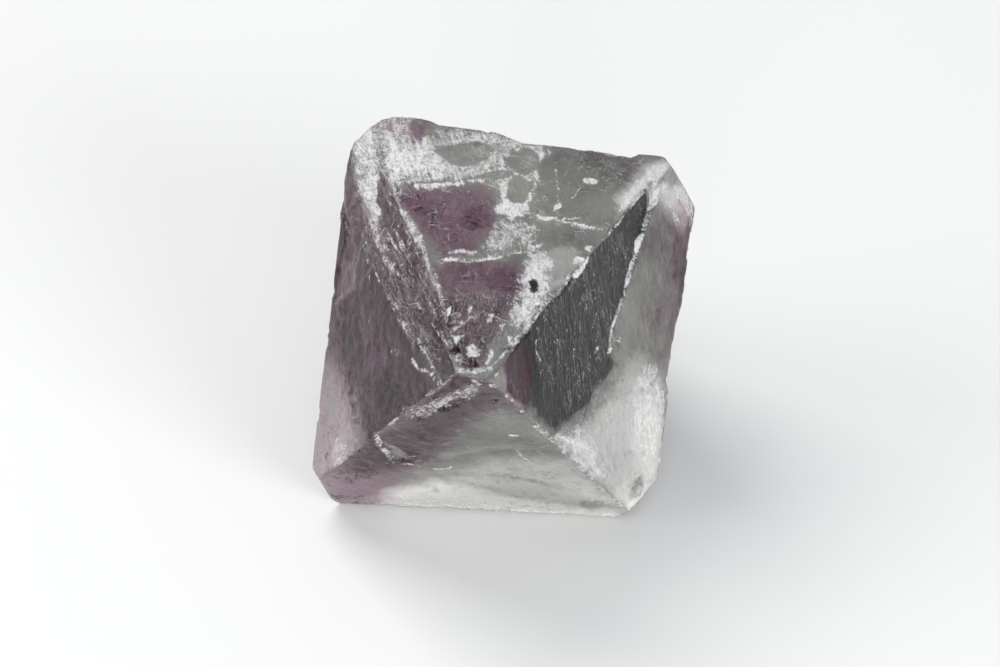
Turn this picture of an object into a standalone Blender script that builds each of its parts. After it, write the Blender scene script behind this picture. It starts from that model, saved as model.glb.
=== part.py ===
"""Fluorite octahedron: one cleaved crystal that rests on one of its triangular faces.

The crystal is made the way a real one is. A rough block is cleaved along eight planes that stand close to the
octahedral angles, its long upper-left ridge and its apex are broken off along planes of their own, and its corners
are worn. Thin layers are then flaked away, which leaves the ledges, dishes and pits on its faces.

Units are metres, +Z is up, and the origin lies on the rest face straight below the crystal's centre. The front edge
of the rest face runs along X, so -Y is the front.
"""

import math
import random

import bmesh
import bpy
from mathutils import Matrix, Vector

MM = 0.001

# Driving dimensions. Every plane stands at a distance from the crystal's centre, square to a direction given by its
# azimuth (degrees from +X towards +Y) and its elevation. An ideal octahedron has 19.47 degrees in place of the
# elevations of its sloping faces, and equal distances.
CENTRE_HEIGHT = 12.0 * MM
BLOCK_SIZE = 60.0 * MM

FACES = {
    "rest": (0.0, -90.0, 12.0 * MM),
    "top": (-55.0, 87.5, 12.5 * MM),
    "front": (-87.5, -24.0, 11.8 * MM),
    "left": (207.5, 19.5, 13.2 * MM),
    "right": (-25.0, 12.0, 10.35 * MM),
    "back": (86.0, 18.0, 12.47 * MM),
    "left_back": (148.0, -15.5, 9.3 * MM),
    "right_back": (29.5, -22.0, 12.5 * MM),
}
BREAKS = {
    "ridge_break": (-152.0, 48.5, 14.5 * MM),
    "apex_flat": (-84.0, 80.0, 13.65 * MM),
}
WORN_CORNERS = {
    "corner_front_left": (213.5, -20.0, 18.6 * MM),
    "corner_front_right": (-26.5, -42.5, 17.0 * MM),
    "corner_top_right": (31.0, 25.0, 18.1 * MM),
    "corner_back": (84.0, -36.0, 17.8 * MM),
}
PLANES = {**FACES, **BREAKS, **WORN_CORNERS}

# A thick flake is missing from the right part of the back: what lay beyond both of these planes.
BACK_FLAKE = {
    "flake_floor": (90.0, 18.0, 11.61 * MM),
    "flake_scarp": (65.0, 18.0, 11.03 * MM),
}

# The back-left corner of the top was never broken off. It stands out as a lump with planes of its own, and elsewhere
# the lump's block lies inside the crystal: BURIED under most of its planes, and just under the two that it shares.
LUMP = {
    "lump_top": (-55.0, 87.5, 13.2 * MM),
    "lump_slope": (-100.0, 66.0, 11.02 * MM),
    "lump_front": (-130.0, 35.0, 12.1 * MM),
    "lump_end": (10.0, 55.0, 8.19 * MM),
    "lump_side": (148.0, -15.5, 9.65 * MM),
    "lump_foot": (148.0, -35.0, 5.2 * MM),
    "lump_back": (86.0, 18.0, 12.40 * MM),
    "lump_left": (207.5, 19.5, 13.13 * MM),
}
BURIED = 0.4 * MM
for name in ("rest", "front", "right", "right_back", "corner_top_right", "corner_back"):
    azimuth, elevation, distance = PLANES[name]
    LUMP["buried_" + name] = (azimuth, elevation, distance - BURIED)
LUMP_ROUNDING = 0.5 * MM

EDGE_ROUNDING = 0.35 * MM
EDGE_SEGMENTS = 2
SHARPEST_ROUNDED_ANGLE = math.radians(12.0)
CUTTER_HEIGHT = 4.0 * MM

# A broken outline wanders from its straight sides by up to RAGGED_SIDEWAYS, at about every RAGGED_SPACING.
RAGGED_SPACING = 1.1
RAGGED_SIDEWAYS = 0.17

# Layers flaked off a face. An outline is given in millimetres along the face's own axes (right and up, seen from
# outside). Its first point is where the floor is deepest, and the floor rises from there against the heading.
# name: (face, depth mm, dip degrees, heading degrees, outline)
LEDGES = {
    "upper_terrace": ("top", 0.55, 2.6, 105.0, [
        (-5.2, 2.9), (-8.4, 1.7), (-8.0, -1.2), (-6.1, -5.0), (-4.2, -5.7), (2.0, -3.2), (0.6, -1.4), (-0.2, 0.4),
        (-0.7, 3.1), (-2.6, 3.8), (-3.4, 3.3)]),
    "lower_terrace": ("top", 0.60, 4.6, 110.0, [
        (-0.5, -4.5), (-4.3, -5.9), (-5.2, -8.3), (-3.4, -13.5), (1.5, -13.0), (3.4, -10.2), (2.3, -8.0),
        (2.1, -6.1), (2.7, -3.3)]),
    "right_terrace": ("top", 0.30, 2.0, 75.0, [
        (4.4, -0.4), (0.9, 0.1), (2.9, -3.1), (2.6, -7.8), (4.6, -8.4), (7.2, -2.6), (8.4, -0.7)]),
    "ridge_step_low": ("ridge_break", 0.45, 9.0, 80.0, [
        (-3.0, -0.7), (-11.5, -0.2), (-10.0, -1.2), (-7.0, -2.6), (9.5, -2.6), (8.0, -1.1), (2.5, -0.4)]),
    "ridge_step_high": ("ridge_break", 0.50, 11.0, 84.0, [
        (0.3, 1.1), (-7.2, 1.3), (-6.3, -0.4), (-1.7, -1.3), (0.9, -1.6), (5.6, -1.1), (7.7, 0.6), (3.9, 0.8)]),
    "ridge_notch": ("ridge_break", 0.60, 14.0, 70.0, [
        (7.6, -0.4), (3.1, -0.9), (4.6, -1.9), (8.8, -2.1), (10.6, -0.6), (9.0, -0.1)]),
    "crease": ("right", 0.45, 1.8, 25.0, [
        (5.5, 7.3), (8.9, 9.3), (9.6, 11.5), (-8.5, 11.5), (-12.5, 5.6), (-10.5, 0.6), (-5.5, -0.6), (-0.9, 0.9),
        (0.1, 3.2), (3.0, 4.9)]),
    "frost_step": ("right", 0.35, 7.0, 25.0, [
        (-6.3, -4.1), (-9.4, -0.7), (-10.9, -0.9), (-9.3, -4.4), (-6.2, -9.2), (-4.9, -8.2), (-5.6, -6.0)]),
    "ridge_groove": ("front", 0.55, 10.0, 130.0, [
        (-5.2, 12.3), (-7.6, 10.3), (-5.6, 9.4), (-2.5, 12.4), (-1.4, 14.9), (-0.6, 17.0), (-2.4, 17.4)]),
    "chip_step": ("front", 0.50, 7.0, 215.0, [
        (-8.5, 2.6), (-9.4, 5.9), (-7.4, 7.7), (-4.6, 5.4), (-3.2, 1.9), (-6.4, 1.3), (-8.1, 1.2)]),
    "left_flake": ("left", 0.30, 3.5, 155.0, [
        (-5.6, 4.0), (-8.8, 6.6), (-6.5, 7.6), (-0.6, 6.2), (-1.6, 2.8), (-3.4, 0.4), (-5.4, -1.0)]),
    "back_terrace": ("back", 0.70, 3.0, -70.0, [
        (1.5, -3.6), (6.8, -2.4), (8.9, 1.8), (5.6, 8.4), (-5.6, 8.8), (-6.8, 3.4), (-4.0, -0.8), (-2.6, -3.2)]),
    "back_step": ("back", 0.55, 5.0, 160.0, [
        (-7.6, 5.6), (-6.2, 2.2), (-3.6, 1.4), (-1.8, 4.8), (-2.4, 10.6), (-9.2, 10.8)]),
    "left_back_terrace": ("left_back", 0.60, 2.8, 20.0, [
        (4.6, 1.4), (3.2, 5.6), (-6.8, 8.2), (-7.4, 1.6), (-4.2, -4.6), (0.4, -6.8), (2.2, -2.6)]),
    "left_back_step": ("left_back", 0.90, 4.0, 240.0, [
        (-2.8, -1.4), (-4.6, 2.8), (-1.2, 5.4), (1.6, 3.0), (0.8, -0.8)]),
    "right_back_terrace": ("right_back", 0.65, 2.6, 130.0, [
        (-4.4, 4.6), (-6.6, 0.6), (-3.4, -4.8), (1.8, -7.2), (6.4, -1.2), (3.6, 4.4), (-0.6, 7.6)]),
    "right_back_step": ("right_back", 0.95, 4.2, -40.0, [
        (3.2, -0.6), (4.8, 3.6), (1.2, 6.4), (-1.6, 2.2), (0.2, -1.8)]),
}

# Shell-shaped dishes. name: (face, right mm, up mm, half width mm, half height mm, turn degrees, depth mm)
DISHES = {
    "apex_scoop": ("right", -11.5, 7.7, 1.9, 3.6, 12.0, 0.75),
    "window_left": ("top", -4.0, 6.3, 1.8, 1.2, 20.0, 0.40),
    "window_middle": ("top", 0.3, 5.6, 1.2, 1.9, 0.0, 0.38),
    "window_small": ("top", -2.9, 4.5, 0.9, 0.6, 25.0, 0.28),
    "edge_dish": ("top", 4.6, -7.9, 0.9, 1.3, -25.0, 0.40),
    "back_dish": ("back", 4.6, 5.6, 2.6, 1.9, 35.0, 0.50),
    "left_back_dish": ("left_back", -5.6, 5.4, 1.8, 2.6, -20.0, 0.45),
    "right_back_dish": ("right_back", -4.8, -1.4, 1.9, 1.4, 15.0, 0.45),
}

# Three-cornered cleavage pits. name: (face, right mm, up mm, radius mm, turn degrees, depth mm)
PITS = {
    "apex_pit_upper": ("apex_flat", -2.6, -10.4, 0.80, 90.0, 0.65),
    "apex_pit_lower": ("apex_flat", -2.3, -12.9, 0.70, 80.0, 0.60),
    "apex_pit_front": ("apex_flat", -0.7, -14.2, 0.75, 95.0, 0.65),
    "apex_pit_right": ("apex_flat", 1.6, -12.3, 0.60, 60.0, 0.55),
    "apex_pit_left": ("ridge_break", 11.0, -0.6, 0.80, 100.0, 0.55),
    "ridge_pit": ("top", 5.9, -4.6, 0.55, 30.0, 0.45),
    "seam_pit": ("top", 3.3, -9.9, 0.50, 70.0, 0.50),
    "crease_pit": ("right", 0.4, 1.4, 0.60, 20.0, 0.50),
    "chip_pit": ("front", 0.3, 13.6, 0.50, 45.0, 0.35),
    "back_pit": ("back", -2.2, -6.0, 0.90, 10.0, 0.50),
}

# Splinters torn out of the broken ridge: long V-shaped grooves that run along it and taper to a point.
SPLINTER_COUNT = 11
SPLINTER_SEED = 5
SPLINTER_RUN = (-7.0, 8.5)
SPLINTER_RISE = (-1.5, 1.3)
SPLINTER_LENGTH = (3.5, 6.5)
SPLINTER_RADIUS = (0.28, 0.50)
SPLINTER_SKEW = 9.0

CRYSTAL_COLOUR = (0.56, 0.50, 0.54, 1.0)
CRYSTAL_ROUGHNESS = 0.28
CRYSTAL_TRANSMISSION = 0.6
FLUORITE_IOR = 1.434


def direction(azimuth, elevation):
    """Unit vector at an azimuth and an elevation in degrees."""
    turn = math.radians(azimuth)
    rise = math.radians(elevation)
    return Vector((math.cos(turn) * math.cos(rise), math.sin(turn) * math.cos(rise), math.sin(rise)))


def plane_frame(azimuth, elevation, distance):
    """Matrix whose origin is the foot of a plane's normal, with X right, Y up and Z out of the crystal."""
    outward = direction(azimuth, elevation)
    level = abs(outward.z) > 0.9
    upward_hint = Vector((0, 1, 0)) if level else Vector((0, 0, 1))
    right = upward_hint.cross(outward).normalized()
    up = outward.cross(right)
    frame = Matrix((right, up, outward)).transposed().to_4x4()
    frame.translation = Vector((0, 0, CENTRE_HEIGHT)) + distance * outward
    return frame


def face_frame(name):
    """The frame of one of the crystal's own planes."""
    return plane_frame(*PLANES[name])


def new_object(name, mesh, collection):
    """Link a mesh to the scene as an object in a collection."""
    thing = bpy.data.objects.new(name, mesh)
    collection.objects.link(thing)
    return thing


def mesh_from(bm, name):
    """Write a bmesh to a new mesh and free it."""
    mesh = bpy.data.meshes.new(name)
    bm.to_mesh(mesh)
    bm.free()
    return mesh


def cleaved_block(name, planes, rounding, collection, keep_inner=True):
    """A large block cut along each plane, on the crystal's side of it or beyond it, with its edges rounded."""
    bm = bmesh.new()
    bmesh.ops.create_cube(bm, size=BLOCK_SIZE, matrix=Matrix.Translation((0, 0, CENTRE_HEIGHT)))
    for plane in planes.values():
        frame = plane_frame(*plane)
        geometry = bm.verts[:] + bm.edges[:] + bm.faces[:]
        cut = bmesh.ops.bisect_plane(bm, geom=geometry, plane_co=frame.translation, plane_no=frame.col[2].xyz,
                                     clear_outer=keep_inner, clear_inner=not keep_inner)
        rim = [element for element in cut["geom_cut"] if isinstance(element, bmesh.types.BMEdge)]
        bmesh.ops.edgenet_fill(bm, edges=rim)
    bmesh.ops.recalc_face_normals(bm, faces=bm.faces[:])
    block = new_object(name, mesh_from(bm, name), collection)
    if rounding:
        bevel = block.modifiers.new("rounded_edges", "BEVEL")
        bevel.width = rounding
        bevel.segments = EDGE_SEGMENTS
        bevel.limit_method = "ANGLE"
        bevel.angle_limit = SHARPEST_ROUNDED_ANGLE
    return block


def ragged(outline, seed):
    """Add points along an outline's sides, each moved sideways by a random amount that its seed fixes."""
    chance = random.Random(seed)
    points = []
    for start, end in zip(outline, outline[1:] + outline[:1]):
        start = Vector(start)
        side = Vector(end) - start
        pieces = max(1, round(side.length / RAGGED_SPACING))
        sideways = Vector((-side.y, side.x)).normalized()
        points.append(start)
        for piece in range(1, pieces):
            shift = chance.uniform(-RAGGED_SIDEWAYS, RAGGED_SIDEWAYS)
            points.append(start + side * (piece / pieces) + sideways * shift)
    return points


def ledge_cutter(name, collection):
    """A prism over an outline on a face, sunk to a depth and dipping towards its heading."""
    face, depth, dip, heading, outline = LEDGES[name]
    curve = bpy.data.curves.new(name, "CURVE")
    curve.dimensions = "2D"
    curve.fill_mode = "BOTH"
    curve.extrude = CUTTER_HEIGHT / 2
    deepest = Vector((outline[0][0] * MM, outline[0][1] * MM, 0))
    outline = ragged(outline, name)
    spline = curve.splines.new("POLY")
    spline.points.add(len(outline) - 1)
    spline.use_cyclic_u = True
    for point, (right, up) in zip(spline.points, outline):
        point.co = (right * MM - deepest.x, up * MM - deepest.y, 0, 1)
    shape = bpy.data.objects.new(name + "_curve", curve)
    collection.objects.link(shape)
    bpy.context.view_layer.update()
    evaluated = shape.evaluated_get(bpy.context.evaluated_depsgraph_get())
    mesh = bpy.data.meshes.new_from_object(evaluated)
    bpy.data.objects.remove(shape)
    bm = bmesh.new()
    bm.from_mesh(mesh)
    bmesh.ops.remove_doubles(bm, verts=bm.verts[:], dist=0.001 * MM)
    bmesh.ops.recalc_face_normals(bm, faces=bm.faces[:])
    bmesh.ops.translate(bm, verts=bm.verts[:], vec=(0, 0, CUTTER_HEIGHT / 2))
    bm.to_mesh(mesh)
    bm.free()
    cutter = new_object(name, mesh, collection)
    dip_axis = Vector((-math.sin(math.radians(heading)), math.cos(math.radians(heading)), 0))
    sunk = Matrix.Translation(deepest - Vector((0, 0, depth * MM)))
    cutter.matrix_world = face_frame(face) @ sunk @ Matrix.Rotation(math.radians(dip), 4, dip_axis)
    return cutter


def dish_cutter(name, collection):
    """A flattened ball whose lowest part hollows a shallow shell-shaped dish."""
    face, right, up, half_width, half_height, turn, depth = DISHES[name]
    bm = bmesh.new()
    bmesh.ops.create_uvsphere(bm, u_segments=18, v_segments=10, radius=1.0)
    ball_height = 2 * depth * MM
    size = Matrix.Diagonal((half_width * MM, half_height * MM, ball_height, 1))
    bmesh.ops.scale(bm, vec=size.to_3x3() @ Vector((1, 1, 1)), verts=bm.verts[:])
    cutter = new_object(name, mesh_from(bm, name), collection)
    place = Matrix.Translation((right * MM, up * MM, ball_height - depth * MM))
    cutter.matrix_world = face_frame(face) @ place @ Matrix.Rotation(math.radians(turn), 4, "Z")
    return cutter


def pit_cutter(name, collection):
    """A three-sided cone standing on its point, as a cleavage pit is."""
    face, right, up, radius, turn, depth = PITS[name]
    bm = bmesh.new()
    height = 3 * depth * MM
    bmesh.ops.create_cone(bm, cap_ends=True, segments=3, radius1=radius * MM * 0.35, radius2=radius * MM * 2.2,
                          depth=height)
    cutter = new_object(name, mesh_from(bm, name), collection)
    place = Matrix.Translation((right * MM, up * MM, height / 2 - depth * MM))
    cutter.matrix_world = face_frame(face) @ place @ Matrix.Rotation(math.radians(turn), 4, "Z")
    return cutter


def splinter_cutters(collection):
    """Long thin four-sided cones that lie along the broken ridge, half sunk in it."""
    chance = random.Random(SPLINTER_SEED)
    cutters = []
    for number in range(SPLINTER_COUNT):
        length = chance.uniform(*SPLINTER_LENGTH) * MM
        radius = chance.uniform(*SPLINTER_RADIUS) * MM
        run = chance.uniform(*SPLINTER_RUN) * MM
        rise = SPLINTER_RISE[0] + (SPLINTER_RISE[1] - SPLINTER_RISE[0]) * (number + 0.5) / SPLINTER_COUNT
        skew = math.radians(chance.uniform(-SPLINTER_SKEW, SPLINTER_SKEW))
        bm = bmesh.new()
        bmesh.ops.create_cone(bm, cap_ends=True, segments=4, radius1=radius, radius2=radius * 0.12, depth=length)
        cutter = new_object(f"splinter_{number:02d}", mesh_from(bm, "splinter"), collection)
        place = Matrix.Translation((run, rise * MM, 0))
        lying = Matrix.Rotation(skew, 4, "Z") @ Matrix.Rotation(math.radians(90.0), 4, "Y")
        cutter.matrix_world = face_frame("ridge_break") @ place @ lying
        cutters.append(cutter)
    return cutters


def add_boolean(crystal, cutter, operation):
    """Cut a shape from the crystal, or join it on, and keep the shape itself out of the model."""
    step = crystal.modifiers.new(cutter.name, "BOOLEAN")
    step.operation = operation
    step.solver = "EXACT"
    step.object = cutter
    cutter.hide_render = True
    cutter.display_type = "WIRE"


def crystal_material():
    """Clear, faintly violet fluorite."""
    material = bpy.data.materials.new("fluorite")
    material.use_nodes = True
    shader = material.node_tree.nodes["Principled BSDF"]
    shader.inputs["Base Color"].default_value = CRYSTAL_COLOUR
    shader.inputs["Roughness"].default_value = CRYSTAL_ROUGHNESS
    shader.inputs["Metallic"].default_value = 0.0
    shader.inputs["Transmission Weight"].default_value = CRYSTAL_TRANSMISSION
    shader.inputs["IOR"].default_value = FLUORITE_IOR
    return material


def main():
    for old in list(bpy.data.objects):
        bpy.data.objects.remove(old)
    parts = bpy.data.collections.new("fluorite_octahedron_parts")
    cutters = bpy.data.collections.new("cutters")
    bpy.context.scene.collection.children.link(parts)
    bpy.context.scene.collection.children.link(cutters)
    crystal = cleaved_block("fluorite_octahedron", PLANES, EDGE_ROUNDING, parts)
    crystal.data.materials.append(crystal_material())
    flake = cleaved_block("back_flake", BACK_FLAKE, 0, cutters, keep_inner=False)
    add_boolean(crystal, flake, "DIFFERENCE")
    lump = cleaved_block("corner_lump", LUMP, LUMP_ROUNDING, cutters)
    add_boolean(crystal, lump, "UNION")
    for name in LEDGES:
        add_boolean(crystal, ledge_cutter(name, cutters), "DIFFERENCE")
    for cutter in splinter_cutters(cutters):
        add_boolean(crystal, cutter, "DIFFERENCE")
    for name in DISHES:
        add_boolean(crystal, dish_cutter(name, cutters), "DIFFERENCE")
    for name in PITS:
        add_boolean(crystal, pit_cutter(name, cutters), "DIFFERENCE")


main()
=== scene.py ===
# %% [markdown]
# # Fluorite octahedron
#
# Fluorite breaks along four sets of parallel planes, so a lump of it can be split into an eight-sided stone
# with a knife and a light hammer. This one is clear to milky grey-green with violet zones. It stands on one
# triangular face. Its splits were not clean: one ridge is torn open, layers have flaked off, and every blow
# left white bruises.
#
# The solid of the stone is already made. This file dresses it: it makes the same form again as one
# fine surface, and adds the flaking, bruising and colour that the solid leaves out. First it loads the solid.

# %% Load the fixed frame
import math
import random

import bpy
import numpy as np
from mathutils import Matrix, Vector


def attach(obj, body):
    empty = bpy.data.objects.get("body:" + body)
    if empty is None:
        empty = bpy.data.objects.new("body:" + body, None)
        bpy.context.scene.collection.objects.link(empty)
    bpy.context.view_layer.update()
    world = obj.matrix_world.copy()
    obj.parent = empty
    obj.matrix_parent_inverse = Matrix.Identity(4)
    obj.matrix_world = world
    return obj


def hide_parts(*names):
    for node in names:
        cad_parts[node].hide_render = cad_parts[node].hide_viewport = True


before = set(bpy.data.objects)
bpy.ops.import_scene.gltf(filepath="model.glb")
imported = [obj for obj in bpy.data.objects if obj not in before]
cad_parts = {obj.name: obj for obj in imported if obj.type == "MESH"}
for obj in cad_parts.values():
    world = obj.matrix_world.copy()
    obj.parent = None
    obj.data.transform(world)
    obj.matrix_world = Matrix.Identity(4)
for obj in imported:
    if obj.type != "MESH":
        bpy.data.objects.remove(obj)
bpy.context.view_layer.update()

# %% [markdown]
# ## The camera
#
# The stone is seen from the front and a little to the right, from about 41 degrees up, with a long lens that
# keeps its edges nearly parallel. A camera is placed from those angles: start at a point inside the stone,
# step back along the line of sight, and aim it. The lens length follows from how many millimetres a picture's
# width covers there.

# %% Set the camera
MM = 0.001
VIEW_AZIMUTH = 6.7
VIEW_ELEVATION = 41.0
VIEW_DISTANCE = 300.0
PICTURE_WIDTH = 78.5
SENSOR_WIDTH = 36.0
AIM_HEIGHT = 10.2
AIM_RIGHT = -0.50
AIM_UP = 1.41
NEAREST_SEEN = 0.01


def sight_axes(azimuth, elevation):
    """Unit vectors to the right, up and back towards the camera, from the angles of the view."""
    turn = math.radians(azimuth)
    rise = math.radians(elevation)
    back = Vector((math.sin(turn) * math.cos(rise), -math.cos(turn) * math.cos(rise), math.sin(rise)))
    right = Vector((math.cos(turn), math.sin(turn), 0))
    return right, back.cross(right), back


right_axis, up_axis, back_axis = sight_axes(VIEW_AZIMUTH, VIEW_ELEVATION)
aim = Vector((0, 0, AIM_HEIGHT)) + AIM_RIGHT * right_axis + AIM_UP * up_axis
camera_data = bpy.data.cameras.new("camera")
camera_data.sensor_width = SENSOR_WIDTH
camera_data.lens = SENSOR_WIDTH * VIEW_DISTANCE / PICTURE_WIDTH
camera_data.clip_start = NEAREST_SEEN
camera = bpy.data.objects.new("camera", camera_data)
camera.matrix_world = Matrix((right_axis, up_axis, back_axis)).transposed().to_4x4()
camera.location = (aim + VIEW_DISTANCE * back_axis) * MM
bpy.context.scene.collection.objects.link(camera)
bpy.context.scene.camera = camera
print("lens", round(camera_data.lens, 1), "mm at", VIEW_DISTANCE, "mm")

# %% [markdown]
# ## Floor and light
#
# A clear stone shows what surrounds it, so its surroundings stay plain: a wide pale floor, a pale even sky,
# and four lamps, which are large so that their edges are soft. One behind and above lights up bruises and
# ledges from the back, one on each side shapes the faces, and a low one in front opens the shade of the faces
# that lean forward.

# %% Build the studio
FLOOR_SIZE = 6.0
FLOOR_COLOUR = (0.54, 0.54, 0.53, 1.0)
SKY_COLOUR = (0.90, 0.93, 1.0, 1.0)
SKY_STRENGTH = 0.70
FLOOR_ROUGHNESS = 0.6
LAMPS = {
    "back_lamp": ((-0.30, 0.25, 0.55), 0.40, 3.2, (1.0, 0.99, 0.97)),
    "left_lamp": ((-0.55, -0.15, 0.35), 0.35, 2.0, (1.0, 0.98, 0.96)),
    "right_lamp": ((0.45, -0.40, 0.22), 0.30, 3.6, (0.96, 0.98, 1.0)),
    "front_lamp": ((0.05, -0.60, 0.10), 0.35, 2.6, (1.0, 0.99, 0.98)),
}


def plain_material(name, colour, roughness):
    """A material with one colour and one roughness."""
    material = bpy.data.materials.new(name)
    material.use_nodes = True
    shader = material.node_tree.nodes["Principled BSDF"]
    shader.inputs["Base Color"].default_value = colour
    shader.inputs["Roughness"].default_value = roughness
    return material


def soft_lamp(name, place, size, power, colour):
    """Add a square lamp at a place in metres, aimed at the stone."""
    data = bpy.data.lights.new(name, "AREA")
    data.size = size
    data.energy = power
    data.color = colour
    lamp = bpy.data.objects.new(name, data)
    lamp.location = place
    aim_at = Vector((0, 0, AIM_HEIGHT * MM)) - Vector(place)
    lamp.rotation_euler = aim_at.to_track_quat("-Z", "Y").to_euler()
    bpy.context.scene.collection.objects.link(lamp)


floor_mesh = bpy.data.meshes.new("floor")
half = FLOOR_SIZE / 2
floor_corners = [(-half, -half, 0), (half, -half, 0), (half, half, 0), (-half, half, 0)]
floor_mesh.from_pydata(floor_corners, [], [(0, 1, 2, 3)])
floor = bpy.data.objects.new("floor", floor_mesh)
bpy.context.scene.collection.objects.link(floor)
floor_mesh.materials.append(plain_material("pale floor", FLOOR_COLOUR, FLOOR_ROUGHNESS))

world = bpy.data.worlds.new("pale sky")
world.use_nodes = True
world.node_tree.nodes["Background"].inputs["Color"].default_value = SKY_COLOUR
world.node_tree.nodes["Background"].inputs["Strength"].default_value = SKY_STRENGTH
bpy.context.scene.world = world
bpy.context.scene.view_settings.view_transform = "Standard"
for name, lamp in LAMPS.items():
    soft_lamp(name, *lamp)
print("studio of one floor, one sky and", len(LAMPS), "lamps")

# %% [markdown]
# ## The planes of the stone
#
# Each flat face is a plane: a direction that it faces and a distance from the centre. Eight of them stand
# close to the angles of a true octahedron. Two more are breaks, along the upper-left ridge and at the upper
# front corner, and four blunt the corners. A flake is missing from the back, beyond two more planes. The
# back-left corner of the top was never broken off, so it stands out as a lump, which is a second small block
# with planes of its own.

# %% List the planes, in millimetres
CENTRE = np.array([0.0, 0.0, 12.0])
STONE_PLANES = {
    "rest": (0.0, -90.0, 12.0),
    "top": (-55.0, 87.5, 12.5),
    "front": (-87.5, -24.0, 11.8),
    "left": (207.5, 19.5, 13.2),
    "right": (-25.0, 12.0, 10.35),
    "back": (86.0, 18.0, 12.47),
    "left_back": (148.0, -15.5, 9.3),
    "right_back": (29.5, -22.0, 12.5),
    "ridge_break": (-152.0, 48.5, 14.5),
    "apex_flat": (-84.0, 80.0, 13.65),
    "corner_front_left": (213.5, -20.0, 18.6),
    "corner_front_right": (-26.5, -42.5, 17.0),
    "corner_top_right": (31.0, 25.0, 18.1),
    "corner_back": (84.0, -36.0, 17.8),
}
FLAKE_PLANES = {
    "flake_floor": (90.0, 18.0, 11.61),
    "flake_scarp": (65.0, 18.0, 11.03),
}
LUMP_PLANES = {
    "lump_top": (-55.0, 87.5, 13.2),
    "lump_slope": (-100.0, 66.0, 11.02),
    "lump_front": (-130.0, 35.0, 12.1),
    "lump_end": (10.0, 55.0, 8.19),
    "lump_side": (148.0, -15.5, 9.65),
    "lump_foot": (148.0, -35.0, 5.2),
    "lump_back": (86.0, 18.0, 12.40),
    "lump_left": (207.5, 19.5, 13.13),
}
BURIED = 0.4
for name in ("rest", "front", "right", "right_back", "corner_top_right", "corner_back"):
    azimuth, elevation, distance = STONE_PLANES[name]
    LUMP_PLANES["buried_" + name] = (azimuth, elevation, distance - BURIED)


def plane_arrays(planes):
    """Normals and distances of planes. A normal is its azimuth's and elevation's point on a unit ball."""
    azimuth, elevation, distance = np.array(list(planes.values())).T
    turn, rise = np.radians(azimuth), np.radians(elevation)
    level = np.cos(rise)
    return np.stack([np.cos(turn) * level, np.sin(turn) * level, np.sin(rise)], axis=1), distance


PLANE_NAMES = list(STONE_PLANES)
NORMALS, DISTANCES = plane_arrays(STONE_PLANES)
print(len(STONE_PLANES), "planes on the stone and", len(LUMP_PLANES), "on its lump")

# %% [markdown]
# ## One sheet for the whole stone
#
# A single grid can wrap a stone with no poles to pinch it. Fold the four corners of a square under until they
# meet, and the square becomes an octahedron. The fold lines land on its edges, which is where this stone's
# ridges are. Two numbers, how far right and how far up on the square, then name every point of the surface.

# %% Fold a square into an octahedron
GRID_STEPS = 316


def folded_square(steps):
    """Place a square's grid points on an octahedron.

    Height is one less the distances right and up, both without sign. Where that is below zero, a point is
    past a fold: each of its two coordinates becomes one less the other's size, with its own sign kept.
    """
    side = np.linspace(-1, 1, steps + 1)
    right, up = np.meshgrid(side, side, indexing="ij")
    height = 1 - np.abs(right) - np.abs(up)
    past_fold = height < 0
    folded_right = np.where(past_fold, (1 - np.abs(up)) * np.sign(right), right)
    folded_up = np.where(past_fold, (1 - np.abs(right)) * np.sign(up), up)
    return np.stack([folded_right, folded_up, height], axis=-1)


def sheet_numbering(steps):
    """Number the grid's points, giving one number to border points that the folding brings together."""
    number = np.arange((steps + 1) ** 2).reshape(steps + 1, steps + 1)
    later = np.arange(steps // 2 + 1, steps + 1)
    for end in (0, steps):
        number[later, end] = number[steps - later, end]
        number[end, later] = number[end, steps - later]
    number[[0, 0, steps, steps], [0, steps, 0, steps]] = number[0, 0]
    kept, renumbered = np.unique(number, return_inverse=True)
    return kept, renumbered.reshape(number.shape)


def sheet_triangles(number):
    """Two triangles for each cell, with the diagonal laid along the fold lines, not across them."""
    a, b, c, d = number[:-1, :-1], number[1:, :-1], number[1:, 1:], number[:-1, 1:]
    middle = (number.shape[0] - 1) / 2
    cell = np.arange(number.shape[0] - 1) + 0.5 - middle
    same_sign = (cell[:, None] * cell[None, :] > 0)[..., None]
    first = np.where(same_sign, np.stack([a, b, d], -1), np.stack([a, b, c], -1))
    second = np.where(same_sign, np.stack([b, c, d], -1), np.stack([a, c, d], -1))
    return np.concatenate([first.reshape(-1, 3), second.reshape(-1, 3)])


kept_points, point_number = sheet_numbering(GRID_STEPS)
octahedron_points = folded_square(GRID_STEPS).reshape(-1, 3)[kept_points]
triangles = sheet_triangles(point_number)
print(len(octahedron_points), "points and", len(triangles), "triangles")

# %% [markdown]
# ## Rays from the centre
#
# The plain octahedron is stretched so that its six corners lie near the stone's own. Only the directions
# matter: each point becomes a ray from the stone's centre, and the grid lines now follow the ridges. Every
# ray stops where it meets the nearest plane. A soft maximum rounds the meeting of two planes, and more so at
# the small worn corners. First the planes are left whole, which gives the plain form and the places on each
# face.

# %% Aim the rays
CORNERS = {
    "back_right_top": (13.0, 8.3, 22.5),
    "front_left_bottom": (-14.4, -9.5, 3.0),
    "back_left_top": (-12.0, 6.5, 25.0),
    "front_right_bottom": (11.7, -6.0, 0.5),
    "front_top": (-0.5, -18.2, 23.9),
    "back_bottom": (1.6, 15.0, 0.8),
}
EDGE_SHARPNESS = 150.0
CORNER_SHARPNESS = 42.0
CORNER_REACHED = 0.4


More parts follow.
